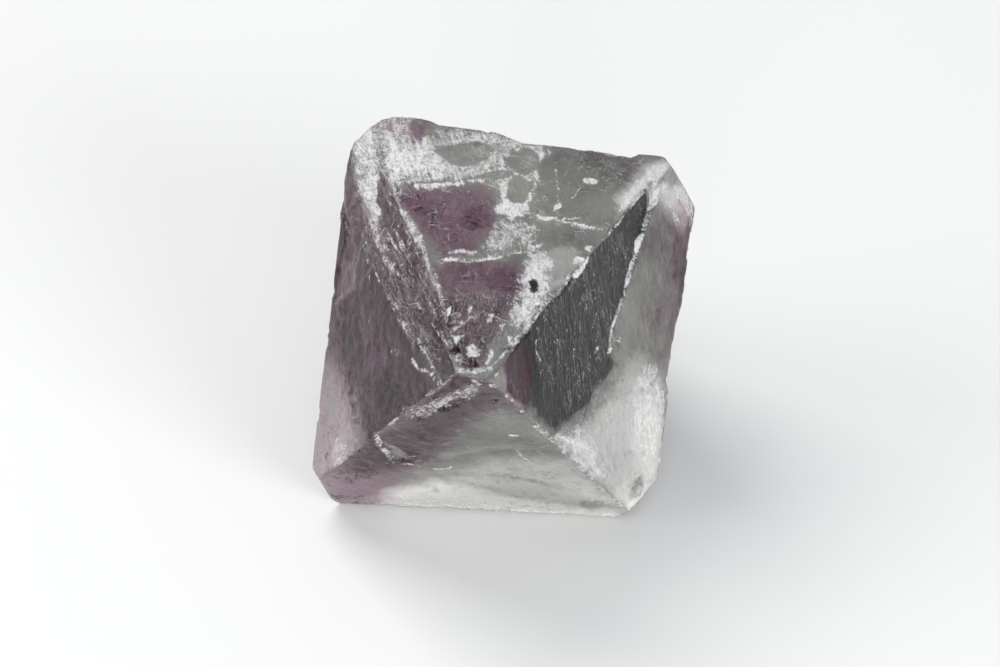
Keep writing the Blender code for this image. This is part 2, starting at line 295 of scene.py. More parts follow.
def rays_through_corners(points):
    """Directions from the centre: the three corners that a point's signs choose, weighted by its numbers."""
    corners = np.array(list(CORNERS.values())) - CENTRE
    weights = [np.clip(sign * points[:, axis], 0, None) for axis in range(3) for sign in (1, -1)]
    stretched = np.stack(weights, axis=1) @ corners
    return stretched / np.linalg.norm(stretched, axis=1, keepdims=True)


def soft_maximum(reaches, sharpness):
    """The same root of the sum of the reaches' high powers, and each power's share in that sum."""
    powers = np.clip(reaches, 0, None) ** sharpness[:, None]
    total = powers.sum(axis=1)
    return total ** (1 / sharpness), powers / total[:, None]


rays = rays_through_corners(octahedron_points)
facing = rays @ NORMALS.T
whole_reach, whole_share = soft_maximum(facing / DISTANCES, np.full(len(rays), EDGE_SHARPNESS))
near_corner = whole_share[:, [name.startswith("corner") for name in PLANE_NAMES]].sum(axis=1)
sharpness = EDGE_SHARPNESS + (CORNER_SHARPNESS - EDGE_SHARPNESS) * np.clip(near_corner / CORNER_REACHED, 0, 1)
whole_points = CENTRE + rays / whole_reach[:, None]
print("plain form spans", whole_points.min(axis=0).round(1), "to", whole_points.max(axis=0).round(1), "mm")

# %% [markdown]
# ## Measuring on a face
#
# What happened to a face is easiest to say on the face itself, as so many millimetres right and up from the
# foot of its normal, seen from outside. A ray's place on a face is where it meets that face's plane. The next
# helpers give those places, and smooth random numbers for everything that nature leaves uneven.

# %% Find each ray's place on each face
NEARLY_EDGE_ON = 0.05
NEARLY_LEVEL = 0.9


def face_axes(outward):
    """A plane's right and up axes. Up is the world's up, or +Y on a plane that is nearly level."""
    hint = np.array([0.0, 1.0, 0.0]) if abs(outward[2]) > NEARLY_LEVEL else np.array([0.0, 0.0, 1.0])
    right = np.cross(hint, outward)
    right /= np.linalg.norm(right)
    return right, np.cross(outward, right)


def places_on_plane(index):
    """Millimetres right and up on a plane: the ray's length to the plane, times its run along each axis."""
    length = DISTANCES[index] / np.clip(facing[:, index], NEARLY_EDGE_ON, None)
    return length[:, None] * (rays @ np.stack(face_axes(NORMALS[index]), axis=1))


def smooth_step(value, low, high):
    """0 below low, 1 above high, and an S-curve between."""
    part = np.clip((value - low) / (high - low), 0, 1)
    return part * part * (3 - 2 * part)


place_on = {name: places_on_plane(index) for index, name in enumerate(PLANE_NAMES)}
print("places measured on", len(place_on), "planes")

# %% Helpers for uneven things
LATTICE = 32


def smooth_noise(points, size, seed):
    """Random numbers from -1 to 1 at the corners of cubes of a size in millimetres, blended by S-curves."""
    values = np.random.default_rng(seed).uniform(-1, 1, (LATTICE, LATTICE, LATTICE))
    scaled = points / size
    cell = np.floor(scaled).astype(int)
    part = smooth_step(scaled - cell, 0, 1)
    total = np.zeros(len(points))
    for corner in np.ndindex(2, 2, 2):
        x, y, z = ((cell + corner) % LATTICE).T
        weight = np.prod(np.where(np.array(corner) == 1, part, 1 - part), axis=1)
        total += weight * values[x, y, z]
    return total


def layered_noise(points, size, seed, layers=3):
    """Smooth noise plus finer noise, each layer half the size and half the strength of the last."""
    return sum(smooth_noise(points, size / 2 ** layer, seed + layer) / 2 ** layer for layer in range(layers))


def flat_noise(name, size_right, size_up, seed, layers=2):
    """Layered noise on a face, with its own size along each of the face's axes."""
    stretched = place_on[name] / (size_right, size_up)
    return layered_noise(np.column_stack([stretched, np.full(len(stretched), seed)]), 1.0, seed, layers)


WANDER_SIZE = 1.1
warp = np.column_stack([layered_noise(whole_points, WANDER_SIZE, seed) for seed in (11, 21)])
print("ragged edges wander by", round(float(np.abs(warp).mean()), 2), "of their step")

# %% Helpers for outlines and lines
NO_RISE = 1e-9


def distance_to_sides(places, starts, ends):
    """Distance from straight sides: the least of the distances to the nearest point of each."""
    nearest = np.full(len(places), np.inf)
    for start, end in zip(starts, ends):
        side = end - start
        along = np.clip(((places - start) @ side) / (side @ side), 0, 1)
        nearest = np.minimum(nearest, np.linalg.norm(places - start - along[:, None] * side, axis=1))
    return nearest


def distance_to_line(places, points):
    """Distance in millimetres from an open line through some points."""
    corners = np.array(points, dtype=float)
    return distance_to_sides(places, corners[:-1], corners[1:])


def depth_inside(places, outline):
    """Distance in millimetres from a closed outline, above zero inside it.

    A point is inside where a line to the right of it crosses the sides an odd number of times.
    """
    starts = np.array(outline, dtype=float)
    ends = np.roll(starts, -1, axis=0)
    nearest = distance_to_sides(places, starts, ends)
    crossings = np.zeros(len(places), dtype=int)
    for start, end in zip(starts, ends):
        run, rise = end - start
        spans = (start[1] > places[:, 1]) != (end[1] > places[:, 1])
        crossings += spans & (places[:, 0] < start[0] + (places[:, 1] - start[1]) * run / (rise or NO_RISE))
    return np.where(crossings % 2 == 1, nearest, -nearest)


def in_oval(places, right, up, half_width, half_height, turn=0.0):
    """Squared distance from an oval's middle, with 1 at its rim."""
    angle = math.radians(turn)
    across = (places - (right, up)) @ np.array([[math.cos(angle), -math.sin(angle)],
                                                [math.sin(angle), math.cos(angle)]])
    return (across[:, 0] / half_width) ** 2 + (across[:, 1] / half_height) ** 2


print("helpers ready")

# %% [markdown]
# ## Flaked layers, dishes and pits
#
# A blow rarely frees a whole layer. It comes off over part of a face and leaves a ledge where it tore. The
# floor of each flaked place dips gently, deepest at the ledge and running out to nothing, so one rule
# describes them all: a depth, a dip, the way it dips, and an outline. Dishes are shell-shaped chips, and pits
# are three-sided, because three of the cleavage planes meet in them. They lie where the solid has them, and
# the ones that the light shows best are shallower here. Where two overlap, the deeper one shows.

# %% Sink the ledges
LEDGES = {
    "upper_terrace": ("top", 0.26, 2.6, 105, [
        (-5.2, 2.9), (-8.4, 1.7), (-8, -1.2), (-6.1, -5), (-4.2, -5.7), (2, -3.2), (0.6, -1.4), (-0.2, 0.4),
        (-0.7, 3.1), (-2.6, 3.8), (-3.4, 3.3)]),
    "lower_terrace": ("top", 0.30, 4.6, 110, [
        (-0.5, -4.5), (-4.3, -5.9), (-5.2, -8.3), (-3.4, -13.5), (1.5, -13), (3.4, -10.2), (2.3, -8),
        (2.1, -6.1), (2.7, -3.3)]),
    "right_terrace": ("top", 0.16, 2, 75, [
        (4.4, -0.4), (0.9, 0.1), (2.9, -3.1), (2.6, -7.8), (4.6, -8.4), (7.2, -2.6), (8.4, -0.7)]),
    "ridge_step_low": ("ridge_break", 0.45, 9, 80, [
        (-3, -0.7), (-11.5, -0.2), (-10, -1.2), (-7, -2.6), (9.5, -2.6), (8, -1.1), (2.5, -0.4)]),
    "ridge_step_high": ("ridge_break", 0.50, 11, 84, [
        (0.3, 1.1), (-7.2, 1.3), (-6.3, -0.4), (-1.7, -1.3), (0.9, -1.6), (5.6, -1.1), (7.7, 0.6),
        (3.9, 0.8)]),
    "ridge_notch": ("ridge_break", 0.60, 14, 70, [
        (7.6, -0.4), (3.1, -0.9), (4.6, -1.9), (8.8, -2.1), (10.6, -0.6), (9, -0.1)]),
    "crease": ("right", 0.28, 1.8, 25, [
        (5.5, 7.3), (8.9, 9.3), (9.6, 11.5), (-8.5, 11.5), (-12.5, 5.6), (-10.5, 0.6), (-5.5, -0.6),
        (-0.9, 0.9), (0.1, 3.2), (3, 4.9)]),
    "frost_step": ("right", 0.35, 7, 25, [
        (-6.3, -4.1), (-9.4, -0.7), (-10.9, -0.9), (-9.3, -4.4), (-6.2, -9.2), (-4.9, -8.2), (-5.6, -6)]),
    "ridge_groove": ("front", 0.55, 10, 130, [
        (-5.2, 12.3), (-7.6, 10.3), (-5.6, 9.4), (-2.5, 12.4), (-1.4, 14.9), (-0.6, 17), (-2.4, 17.4)]),
    "chip_step": ("front", 0.50, 7, 215, [
        (-8.5, 2.6), (-9.4, 5.9), (-7.4, 7.7), (-4.6, 5.4), (-3.2, 1.9), (-6.4, 1.3), (-8.1, 1.2)]),
    "left_flake": ("left", 0.30, 3.5, 155, [
        (-5.6, 4), (-8.8, 6.6), (-6.5, 7.6), (-0.6, 6.2), (-1.6, 2.8), (-3.4, 0.4), (-5.4, -1)]),
    "back_terrace": ("back", 0.70, 3, -70, [
        (1.5, -3.6), (6.8, -2.4), (8.9, 1.8), (5.6, 8.4), (-5.6, 8.8), (-6.8, 3.4), (-4, -0.8),
        (-2.6, -3.2)]),
    "back_step": ("back", 0.55, 5, 160, [
        (-7.6, 5.6), (-6.2, 2.2), (-3.6, 1.4), (-1.8, 4.8), (-2.4, 10.6), (-9.2, 10.8)]),
    "left_back_terrace": ("left_back", 0.60, 2.8, 20, [
        (4.6, 1.4), (3.2, 5.6), (-6.8, 8.2), (-7.4, 1.6), (-4.2, -4.6), (0.4, -6.8), (2.2, -2.6)]),
    "left_back_step": ("left_back", 0.90, 4, 240, [
        (-2.8, -1.4), (-4.6, 2.8), (-1.2, 5.4), (1.6, 3), (0.8, -0.8)]),
    "right_back_terrace": ("right_back", 0.65, 2.6, 130, [
        (-4.4, 4.6), (-6.6, 0.6), (-3.4, -4.8), (1.8, -7.2), (6.4, -1.2), (3.6, 4.4), (-0.6, 7.6)]),
    "right_back_step": ("right_back", 0.95, 4.2, -40, [
        (3.2, -0.6), (4.8, 3.6), (1.2, 6.4), (-1.6, 2.2), (0.2, -1.8)]),
}
SCARP_WIDTH = 0.36
SCARP_LINE = 0.16
RAGGED_STEP = 0.22


def sink_ledge(face, depth, dip, heading, outline):
    """Depth below a face inside an outline: its depth at the first point, plus the dip along the heading.

    The scarp is a bell-shaped line over the outline, as strong as the floor is deep there.
    """
    places = place_on[face] + RAGGED_STEP * warp
    angle = math.radians(heading)
    onward = (places - outline[0]) @ (math.cos(angle), math.sin(angle))
    floor_depth = np.clip(depth + math.tan(math.radians(dip)) * onward, 0, None)
    inside = depth_inside(places, outline)
    scarp = np.exp(-(inside / SCARP_LINE) ** 2) * np.clip(floor_depth / depth, 0, 1)
    return floor_depth * smooth_step(inside, -SCARP_WIDTH / 2, SCARP_WIDTH / 2), scarp


sunk = {name: np.zeros(len(rays)) for name in PLANE_NAMES}
scarps = {name: np.zeros(len(rays)) for name in PLANE_NAMES}
for face, *shape in LEDGES.values():
    depth_here, scarp_here = sink_ledge(face, *shape)
    sunk[face] = np.maximum(sunk[face], depth_here)
    scarps[face] = np.maximum(scarps[face], scarp_here)
print(len(LEDGES), "ledges, the deepest", round(max(float(depth.max()) for depth in sunk.values()), 2), "mm")

# %% Sink the dishes and the pits
DISHES = {
    "apex_scoop": ("right", -11.5, 7.7, 2.2, 4.0, 12.0, 0.22),
    "window_left": ("top", -4.0, 6.3, 2.2, 1.5, 20.0, 0.22),
    "window_middle": ("top", 0.3, 5.6, 1.6, 2.3, 0.0, 0.20),
    "window_small": ("top", -2.9, 4.5, 1.2, 0.8, 25.0, 0.14),
    "edge_dish": ("top", 4.6, -7.9, 0.9, 1.3, -25.0, 0.40),
    "back_dish": ("back", 4.6, 5.6, 2.6, 1.9, 35.0, 0.50),
    "left_back_dish": ("left_back", -5.6, 5.4, 1.8, 2.6, -20.0, 0.45),
    "right_back_dish": ("right_back", -4.8, -1.4, 1.9, 1.4, 15.0, 0.45),
}
PITS = {
    "apex_pit_upper": ("apex_flat", -2.6, -10.4, 0.80, 90.0, 0.65),
    "apex_pit_lower": ("apex_flat", -2.3, -12.9, 0.70, 80.0, 0.60),
    "apex_pit_front": ("apex_flat", -0.7, -14.2, 0.75, 95.0, 0.65),
    "apex_pit_right": ("apex_flat", 1.6, -12.3, 0.60, 60.0, 0.55),
    "apex_pit_left": ("ridge_break", 11.0, -0.6, 0.80, 100.0, 0.55),
    "ridge_pit": ("top", 5.9, -4.6, 0.55, 30.0, 0.45),
    "seam_pit": ("top", 3.3, -9.9, 0.50, 70.0, 0.50),
    "crease_pit": ("right", 0.4, 1.4, 0.60, 20.0, 0.50),
    "chip_pit": ("front", 0.3, 13.6, 0.50, 45.0, 0.35),
    "back_pit": ("back", -2.2, -6.0, 0.90, 10.0, 0.50),
}
DISH_WANDER = 0.1
PIT_FLOOR = 0.36
PIT_RIM = 0.1


def sink_dish(face, right, up, half_width, half_height, turn, depth):
    """Depth of a shell-shaped dish: the square of one less the squared distance, so its rim is soft."""
    inside = 1 - in_oval(place_on[face] + DISH_WANDER * warp, right, up, half_width, half_height, turn)
    return depth * np.clip(inside, 0, 1) ** 2


def sink_pit(face, right, up, radius, turn, depth):
    """Depth of a three-sided pit, from the furthest of three directions that are a third of a turn apart."""
    places = place_on[face] - (right, up)
    angles = np.radians(turn + np.array([60.0, 180.0, 300.0]))
    outwards = (places @ np.stack([np.cos(angles), np.sin(angles)])).max(axis=1) / (radius / 2)
    return depth * np.clip((1 - outwards) / (1 - PIT_FLOOR), 0, 1)


for face, *shape in DISHES.values():
    sunk[face] = np.maximum(sunk[face], sink_dish(face, *shape))
for face, *shape in PITS.values():
    depth_here = sink_pit(face, *shape)
    sunk[face] = np.maximum(sunk[face], depth_here)
    scarps[face] = np.maximum(scarps[face], smooth_step(depth_here, 0, PIT_RIM))
print(len(DISHES), "dishes and", len(PITS), "pits")

# %% [markdown]
# ## The torn ridge
#
# Where two cleavages fought over the upper-left ridge, the stone tore into splinters that lie along it. Each
# splinter left a V-shaped groove that tapers to a point. Finer fibres fill the rest: noise that is stretched
# along the ridge, with its creases turned into sharp crests.

# %% Tear the ridge
SPLINTER_COUNT = 11
SPLINTER_SEED = 5
SPLINTER_RUN = (-7.0, 8.5)
SPLINTER_RISE = (-1.5, 1.3)
SPLINTER_LENGTH = (3.5, 6.5)
SPLINTER_RADIUS = (0.12, 0.26)
SPLINTER_SKEW = 9.0
SPLINTER_TAPER = 0.88
FIBRE_DEPTH = 0.09


def sink_splinter(length, radius, run, rise, skew):
    """Depth of a V-shaped groove: a radius that tapers along it, less the distance from its middle line."""
    places = place_on["ridge_break"] - (run, rise)
    angle = math.radians(skew)
    along = places @ (math.cos(angle), math.sin(angle))
    across = places @ (-math.sin(angle), math.cos(angle))
    taper = radius * (1 - SPLINTER_TAPER * np.clip(along / length + 0.5, 0, 1))
    return np.clip(taper - np.abs(across), 0, None) * (np.abs(along) < length / 2)


chance = random.Random(SPLINTER_SEED)
for number in range(SPLINTER_COUNT):
    length = chance.uniform(*SPLINTER_LENGTH)
    radius = chance.uniform(*SPLINTER_RADIUS)
    run = chance.uniform(*SPLINTER_RUN)
    rise = SPLINTER_RISE[0] + (SPLINTER_RISE[1] - SPLINTER_RISE[0]) * (number + 0.5) / SPLINTER_COUNT
    groove = sink_splinter(length, radius, run, rise, chance.uniform(-SPLINTER_SKEW, SPLINTER_SKEW))
    sunk["ridge_break"] = np.maximum(sunk["ridge_break"], groove)
fibres = 1 - np.abs(flat_noise("ridge_break", 3.2, 0.36, 31, 3))
sunk["ridge_break"] = sunk["ridge_break"] + FIBRE_DEPTH * (1 - fibres)
print(SPLINTER_COUNT, "splinters torn out")

# %% [markdown]
# ## Carving the stone
#
# Now every ray meets the planes again, each plane sunk by its own depths, so a ledge that runs over an edge
# notches it. A soft maximum picks the plane that stops the ray first, which rounds the edges slightly. On the
# back, the flake is gone beyond both of its planes. The lump is carved in the same way, and a ray stops at
# whichever is further out.

# %% Carve the planes
LUMP_SHARPNESS = 60.0
LUMP_SEAM = 0.05
FACE_FAMILY = {
    "top": ("top", "apex_flat"),
    "right": ("right", "corner_front_right"),
    "left": ("left", "corner_front_left"),
    "back": ("back", "corner_back", "flake"),
    "right_back": ("right_back", "corner_top_right"),
}

flake_normals, flake_distances = plane_arrays(FLAKE_PLANES)
lump_normals, lump_distances = plane_arrays(LUMP_PLANES)
flake_reach = (rays @ flake_normals.T / flake_distances).min(axis=1)
reach = facing / (DISTANCES - np.stack([sunk[name] for name in PLANE_NAMES], axis=1))
carved_reach, share = soft_maximum(np.column_stack([reach, flake_reach]), sharpness)
SHARE_NAMES = PLANE_NAMES + ["flake"]
lump_reach, _ = soft_maximum(rays @ lump_normals.T / lump_distances, np.full(len(rays), LUMP_SHARPNESS))
lump_height = 1 / lump_reach - 1 / carved_reach
on_lump = smooth_step(lump_height, -LUMP_SEAM, LUMP_SEAM)
carved_length = np.maximum(1 / carved_reach, 1 / lump_reach)
on_rest = share[:, PLANE_NAMES.index("rest")]


def share_of(name):
    """How much a point belongs to a face or to the small flats beside it. The lump belongs to the top."""
    family = [SHARE_NAMES.index(member) for member in FACE_FAMILY.get(name, (name,))]
    own = sum(share[:, member] for member in family) * (1 - on_lump)
    return own + on_lump if name == "top" else own


print("the lump stands", round(float(lump_height.max()), 2), "mm out")

# %% [markdown]
# ## Worn edges and uneven faces
#
# Edges of a handled stone are nibbled. How close a point is to an edge follows from how far it still is below
# its neighbour's plane, divided by the sine of the angle between the two. Noise decides where a crumb is
# missing. Whole faces are only nearly flat, so each also gets a faint swell and its own grain. The face that
# the stone rests on stays flat.

# %% Nibble the edges and ripple the faces
CRUMB_DEPTH = 0.30
CRUMB_WIDTH = 0.40
SWELL_DEPTH = 0.05
SCRATCH_DEPTH = 0.02
PEBBLING_DEPTH = 0.03
LUMP_ROUGHNESS = 0.16
NEARLY_ALIGNED = 0.93
NO_EDGE = 1e-3

stopping = reach.argmax(axis=1)
cosine = NORMALS @ NORMALS.T
sine = np.where(cosine > NEARLY_ALIGNED, NO_EDGE, np.sqrt(np.clip(1 - cosine ** 2, NO_EDGE ** 2, None)))
shortfall = DISTANCES * (1 - reach / reach.max(axis=1, keepdims=True)) / sine[stopping]
shortfall[np.arange(len(rays)), stopping] = np.inf
edge_distance = shortfall.min(axis=1)
crumb_noise = layered_noise(whole_points, 0.9, 41) + 0.5 * layered_noise(whole_points, 3.5, 45, 1)
crumbs = smooth_step(crumb_noise, 0.35, 0.7) * smooth_step(-edge_distance, -CRUMB_WIDTH, 0) * (1 - on_rest)
swell = SWELL_DEPTH * (layered_noise(whole_points, 5.0, 51) - 0.3)
right_scratches = flat_noise("right", 0.30, 3.6, 61) * share_of("right")
back_scratches = flat_noise("back", 0.5, 2.4, 64) * share_of("back")
pebbling = PEBBLING_DEPTH * layered_noise(whole_points, 0.8, 71) * share_of("left")
ripple = SCRATCH_DEPTH * (right_scratches + back_scratches) + pebbling
rough_lump = LUMP_ROUGHNESS * on_lump * (layered_noise(whole_points, 1.1, 81) - 0.2)
worn_length = carved_length + (swell + ripple + rough_lump) * (1 - on_rest) - CRUMB_DEPTH * crumbs
crystal_points = CENTRE + rays * worn_length[:, None]
crystal_points[:, 2] = np.maximum(crystal_points[:, 2], 0)
print("stone spans", crystal_points.min(axis=0).round(2), "to", crystal_points.max(axis=0).round(2), "mm")

# %% [markdown]
# ## Where the colours lie
#
# The stone has four sorts of colour change: violet growth zones, painted shade where clear places look dark,
# milky places that are partly a painted glow of light, and white bruises. One texture could hold them all,
# but a mask that is worked out at every point needs no picture and stays sharp at any size. Each mask runs
# from 0 to
# 1, is drawn in a face's own millimetres as areas, ovals and strokes with soft rims, and is stored on the
# mesh for the material to read.

# %% Helpers for colour masks
AREA_WANDER = 0.35
OVAL_WANDER = 0.20
STROKE_WANDER = 0.15
OVAL_RIM = 0.60
WINDOW_RIM = 0.35
LINE_CORE = 0.2
LEAST_OF_LINE = 0.62

marks = {name: np.zeros(len(rays)) for name in ("violet", "painted_shade", "haze_and_glow", "frost", "scratch")}
faded = LEAST_OF_LINE + (1 - LEAST_OF_LINE) * smooth_step(layered_noise(whole_points, 0.7, 95), -0.5, 0.3)


def in_area(face, soft, outline):
    """0 outside an outline and 1 inside it, with an S-curve between that is twice `soft` wide."""
    return smooth_step(depth_inside(place_on[face] + AREA_WANDER * warp, outline), -soft, soft)


def in_spot(face, rim, *oval):
    """0 at an oval's rim and 1 inside: an S-curve of one less the squared distance, from 0 to `rim`."""
    return smooth_step(np.clip(1 - in_oval(place_on[face] + OVAL_WANDER * warp, *oval), 0, 1), 0, rim)


def on_line(face, width, points):
    """1 in the core of a line and 0 at its width."""
    off_line = distance_to_line(place_on[face] + STROKE_WANDER * warp, points)
    return smooth_step(-off_line, -width, -LINE_CORE * width)


def paint(mask, face, whole=0.0, areas=(), ovals=(), strokes=()):
    """Raise a mask on a face: all over, in areas, in ovals and along lines. The strongest of them counts.

    Each row starts with a strength. An area has a softness and an outline. An oval has its middle's right and
    up, half its width and height, and a turn in degrees. A stroke has a width and a line's points.
    """
    own = share_of(face)
    layers = [marks[mask], whole * own]
    layers += [strength * in_area(face, *area) * own for strength, *area in areas]
    layers += [strength * in_spot(face, OVAL_RIM, *oval) * own for strength, *oval in ovals]
    layers += [strength * on_line(face, *line) * faded * own for strength, *line in strokes]
    marks[mask] = np.max(layers, axis=0)


def wipe(mask, face, ovals):
    """Lower a mask inside ovals, which leaves clean windows with soft rims."""
    for strength, *oval in ovals:
        marks[mask] = marks[mask] * (1 - strength * in_spot(face, WINDOW_RIM, *oval) * share_of(face))


def report_cover(mask):
    """Print how much of the stone a mask covers."""
    print(mask, "covers", round(float((marks[mask] > 0.3).mean() * 100)), "percent of the points")


BEYOND_THE_TOP = [(-12.8, 12), (-12.8, -4), (-40, -30), (-40, 40)]
LUMP_OUTLINE = [(-11.8, 7.4), (-11.2, 10.2), (-8.2, 10.8), (-6.6, 10.2), (-6.4, 7), (-9.4, 6.4)]
print("masks:", ", ".join(marks))

# %% [markdown]
# ## Violet zones
#
# The violet grew in layers, so it fills whole corners of the stone and ends in soft borders. It could be a
# gradient through the whole body, but it has to stop at certain ledges, so it is painted face by face. Small
# ovals are the darker knots in it.

# %% Paint the violet
paint("violet", "left", whole=0.5, areas=[(0.9, 5, [(-20, -6), (20, -7), (20, 12), (-20, 12)])])
paint("violet", "left_back", whole=0.45)
paint("violet", "ridge_break", whole=0.6)
paint("violet", "right_back", whole=0.15, ovals=[(0.6, 3, 4, 4, 5)])
paint("violet", "top", areas=[
    (0.6, 0.9, [(-8, 2.2), (-5.5, 2.7), (-2.6, 3.6), (-1.6, 2.2), (-1.1, 0.4), (-1.3, -1.5), (-2, -4.2),
        (-4, -5.6), (-6.6, -3.5), (-7.6, -1.5), (-8.6, 0.4)]),
    (0.58, 0.9, [(-4.1, -6), (1.5, -4.2), (1.9, -6.5), (1.5, -9.5), (1, -12), (-0.3, -18), (-2.6, -18.4),
        (-5.4, -14), (-5.8, -9), (-5.2, -6.4)]),
    (0.6, 0.6, BEYOND_THE_TOP),
    (0.58, 0.6, [(-11.6, 7.8), (-11, 10.2), (-8, 10.8), (-7.6, 7.2), (-9.4, 6.6)]),
    (0.76, 0.9, [(-5.4, -9.6), (1, -9.8), (0.6, -13), (-0.8, -18), (-3, -18)])], ovals=[
    (0.76, -2.6, -0.8, 1.9, 2), (0.7, -7.2, 0.4, 1.6, 1.5), (0.8, 0.3, -7.5, 1.7, 1.8),
    (0.95, -2.3, -14.8, 1.3, 1.8), (0.95, -4.9, -14.6, 0.9, 2), (0.9, -1.8, -17, 1.3, 0.9)], strokes=[
    (0.78, 1, [(-7.4, 10.6), (-7.5, 8.8), (-7.8, 6.6)])])
paint("violet", "right", areas=[
    (1, 0.25, [(-14.2, 10.2), (-9.9, 10.2), (-9.8, 7.4), (-10.9, 5.2), (-12.2, 4), (-13.9, 6.4)]),
    (0.3, 1.6, [(5, 6), (9, 9), (13, 6), (8, -3), (4.5, -6), (4.6, -1)]),
    (0.56, 0.8, [(9, -1.5), (12.4, 3.6), (14, 6.4), (10.6, 7.4), (8.6, 2)])], strokes=[
    (0.95, 0.6, [(-9, 10), (-9.2, 8.4)])])
paint("violet", "front", areas=[
    (0.78, 2, [(-15.5, -5), (-10, 4.5), (-7, 10), (-2.4, 19), (0.4, 19), (1.5, 13), (-2, 9), (-4.4, 3.2),
        (-6, 0.4), (-7.6, -2), (-9.6, -9), (-13, -9)])], ovals=[
    (1, -5.7, 10.9, 0.6, 0.5), (0.85, -7.2, 6.9, 0.9, 1), (0.85, -12.7, -6.2, 1.4, 1.4)], strokes=[
    (0.95, 0.8, [(-10.6, 1.4), (-9.6, -0.4)]), (1, 0.55, [(-4.6, 13), (-3.2, 15.4), (-2, 17.8)])])
paint("violet", "back", ovals=[(0.6, -5, 4, 5, 7, 20)])
report_cover("violet")

# %% [markdown]
# ## Painted shade
#
# Where the stone is clearest, the eye looks through it into its own shade, and the face reads dark. A clear
# material on a bright floor can't go that dark by itself, so that shade is painted on those faces as a
# near-black grey, and a little of it everywhere. One faint oval low on the right face is a grey stain.

# %% Paint the shade
paint("painted_shade", "front", areas=[
    (0.54, 1.6, [(-10, 4.5), (-7, 10), (-2.4, 19), (0.4, 19), (1.5, 13), (-2, 9), (-4.4, 3.2), (-8, -1),
        (-12, -1)]),
    (0.18, 1.5, [(-5, 2), (-2, 10), (0, 17), (4.4, 7.5), (7, 0), (0, -1.5)])], ovals=[
    (0.3, 7.4, -5.4, 1.3, 1.2)], strokes=[
    (0.34, 0.7, [(-3, -0.6), (1, -0.4), (5, -2.4)]), (0.36, 0.6, [(-5, 3.2), (-1, 6.6), (1.4, 9)]),
    (0.8, 0.35, [(-9.3, 4), (-8.6, 2)])])
paint("painted_shade", "right", areas=[
    (1, 0.7, [(-14.4, 11), (8.6, 11), (8, 8.9), (6.6, 7.9), (5.2, 7), (3, 5), (1.8, 4.1), (0.3, 3.1),
        (-1, 1.4), (-0.4, -0.3), (-3, -0.7), (-6, -1), (-9.6, -0.3), (-12.2, 4.2)]),
    (0.45, 2.2, [(-9.6, 2), (-1, 2), (0, -1.4), (-3, -2.4), (-7, -2.2)]),
    (0.16, 1.2, [(3, 4), (9.5, 10.5), (14, 8), (6, -8), (3.6, -3), (0.5, -0.5)]),
    (0.55, 0.7, [(8.4, -1.5), (12.6, 5.4), (14.5, 5.6), (9, -3.6)])], ovals=[
    (1, -11.4, 8, 1.1, 1.9), (0.3, -1, -12, 1.4, 0.9)])
paint("painted_shade", "ridge_break", whole=0.46)
paint("painted_shade", "top", areas=[
    (0.5, 0.5, [(-10.6, 0.8), (-8.8, -1), (-7.6, -3.4), (-6.4, -5.6), (-5.2, -9), (-4.2, -12.5),
        (-3, -17.8), (-5.5, -13.5), (-8.5, -7), (-11.5, -1)]),
    (0.3, 0.6, BEYOND_THE_TOP),
    (0.12, 0.9, [(1.8, 8.3), (9.4, 8.3), (8.8, 4), (8.1, 0.5), (4.6, 0.3), (1.8, 0.5), (1.5, 4)]),
    (0.14, 0.9, [(2.6, -0.2), (8, -1), (5.4, -6.5), (3.6, -9.6), (3.6, -5)]),
    (0.44, 0.9, [(-5.6, -9), (1.2, -9.4), (0.8, -13), (-0.6, -18.4), (-3, -18.4)])], ovals=[
    (0.8, 2.7, -7.8, 0.5, 0.9)])
paint("painted_shade", "left", areas=[
    (0.48, 0.35, [(-6, 5.8), (0, 5.9), (6, 5.4), (12.6, 5.6), (16.5, 9.5), (-8, 9.5)]),
    (0.74, 2, [(-20, 2), (20, 2), (20, 12), (-20, 12)]),
    (0.46, 6, [(-20, -5), (20, -6.5), (20, 12), (-20, 12)])], ovals=[
    (0.42, -0.5, 3.6, 3.4, 2.4), (0.5, -1, -1.5, 0.7, 0.5, 30)])
paint("painted_shade", "right_back", ovals=[(0.5, -2, 0, 5, 5)])
report_cover("painted_shade")

# %% [markdown]
# ## Milky places and painted glow
#
# Clouds of tiny cracks make thin milky veils, and near the lower edges light that comes through the stone
# from the back glows. A true cloud inside the body would need a costly volume, so a pale mask on the surface
# stands
# for both: the milk, and the glow as painted light.

# %% Paint the milk and the glow
# Along the front's foot and low on the right face this is mostly painted glow of light leaving the stone.
paint("haze_and_glow", "front", areas=[
    (1, 1.5, [(-8.6, -4.2), (-5, -2), (-3, -2.3), (0, -3.8), (3, -5), (9.5, -6.2), (12, -9.5),
        (-10.8, -9.5), (-9.6, -6.5)]),
    (0.56, 1.8, [(-4, -1), (0, 3), (6, 3.5), (10, -6), (4, -6), (-3, -3)]),
    (0.44, 1.6, [(-15.5, -7), (-8, -5), (-8, -9.5), (-13, -9.5)]),
    (0.3, 2, [(-15.5, -4), (-11.5, 0), (-9, -1.5), (-8, -9), (-13, -9)])], ovals=[
    (1, 0, -8, 10, 2.6)], strokes=[
    (0.2, 0.9, [(-4, 2.6), (-1, 4.6), (2, 5.2)]),
    (0.22, 0.7, [(-6, -0.8), (-2, 0.6), (3, 0.4), (6.6, -1)])])
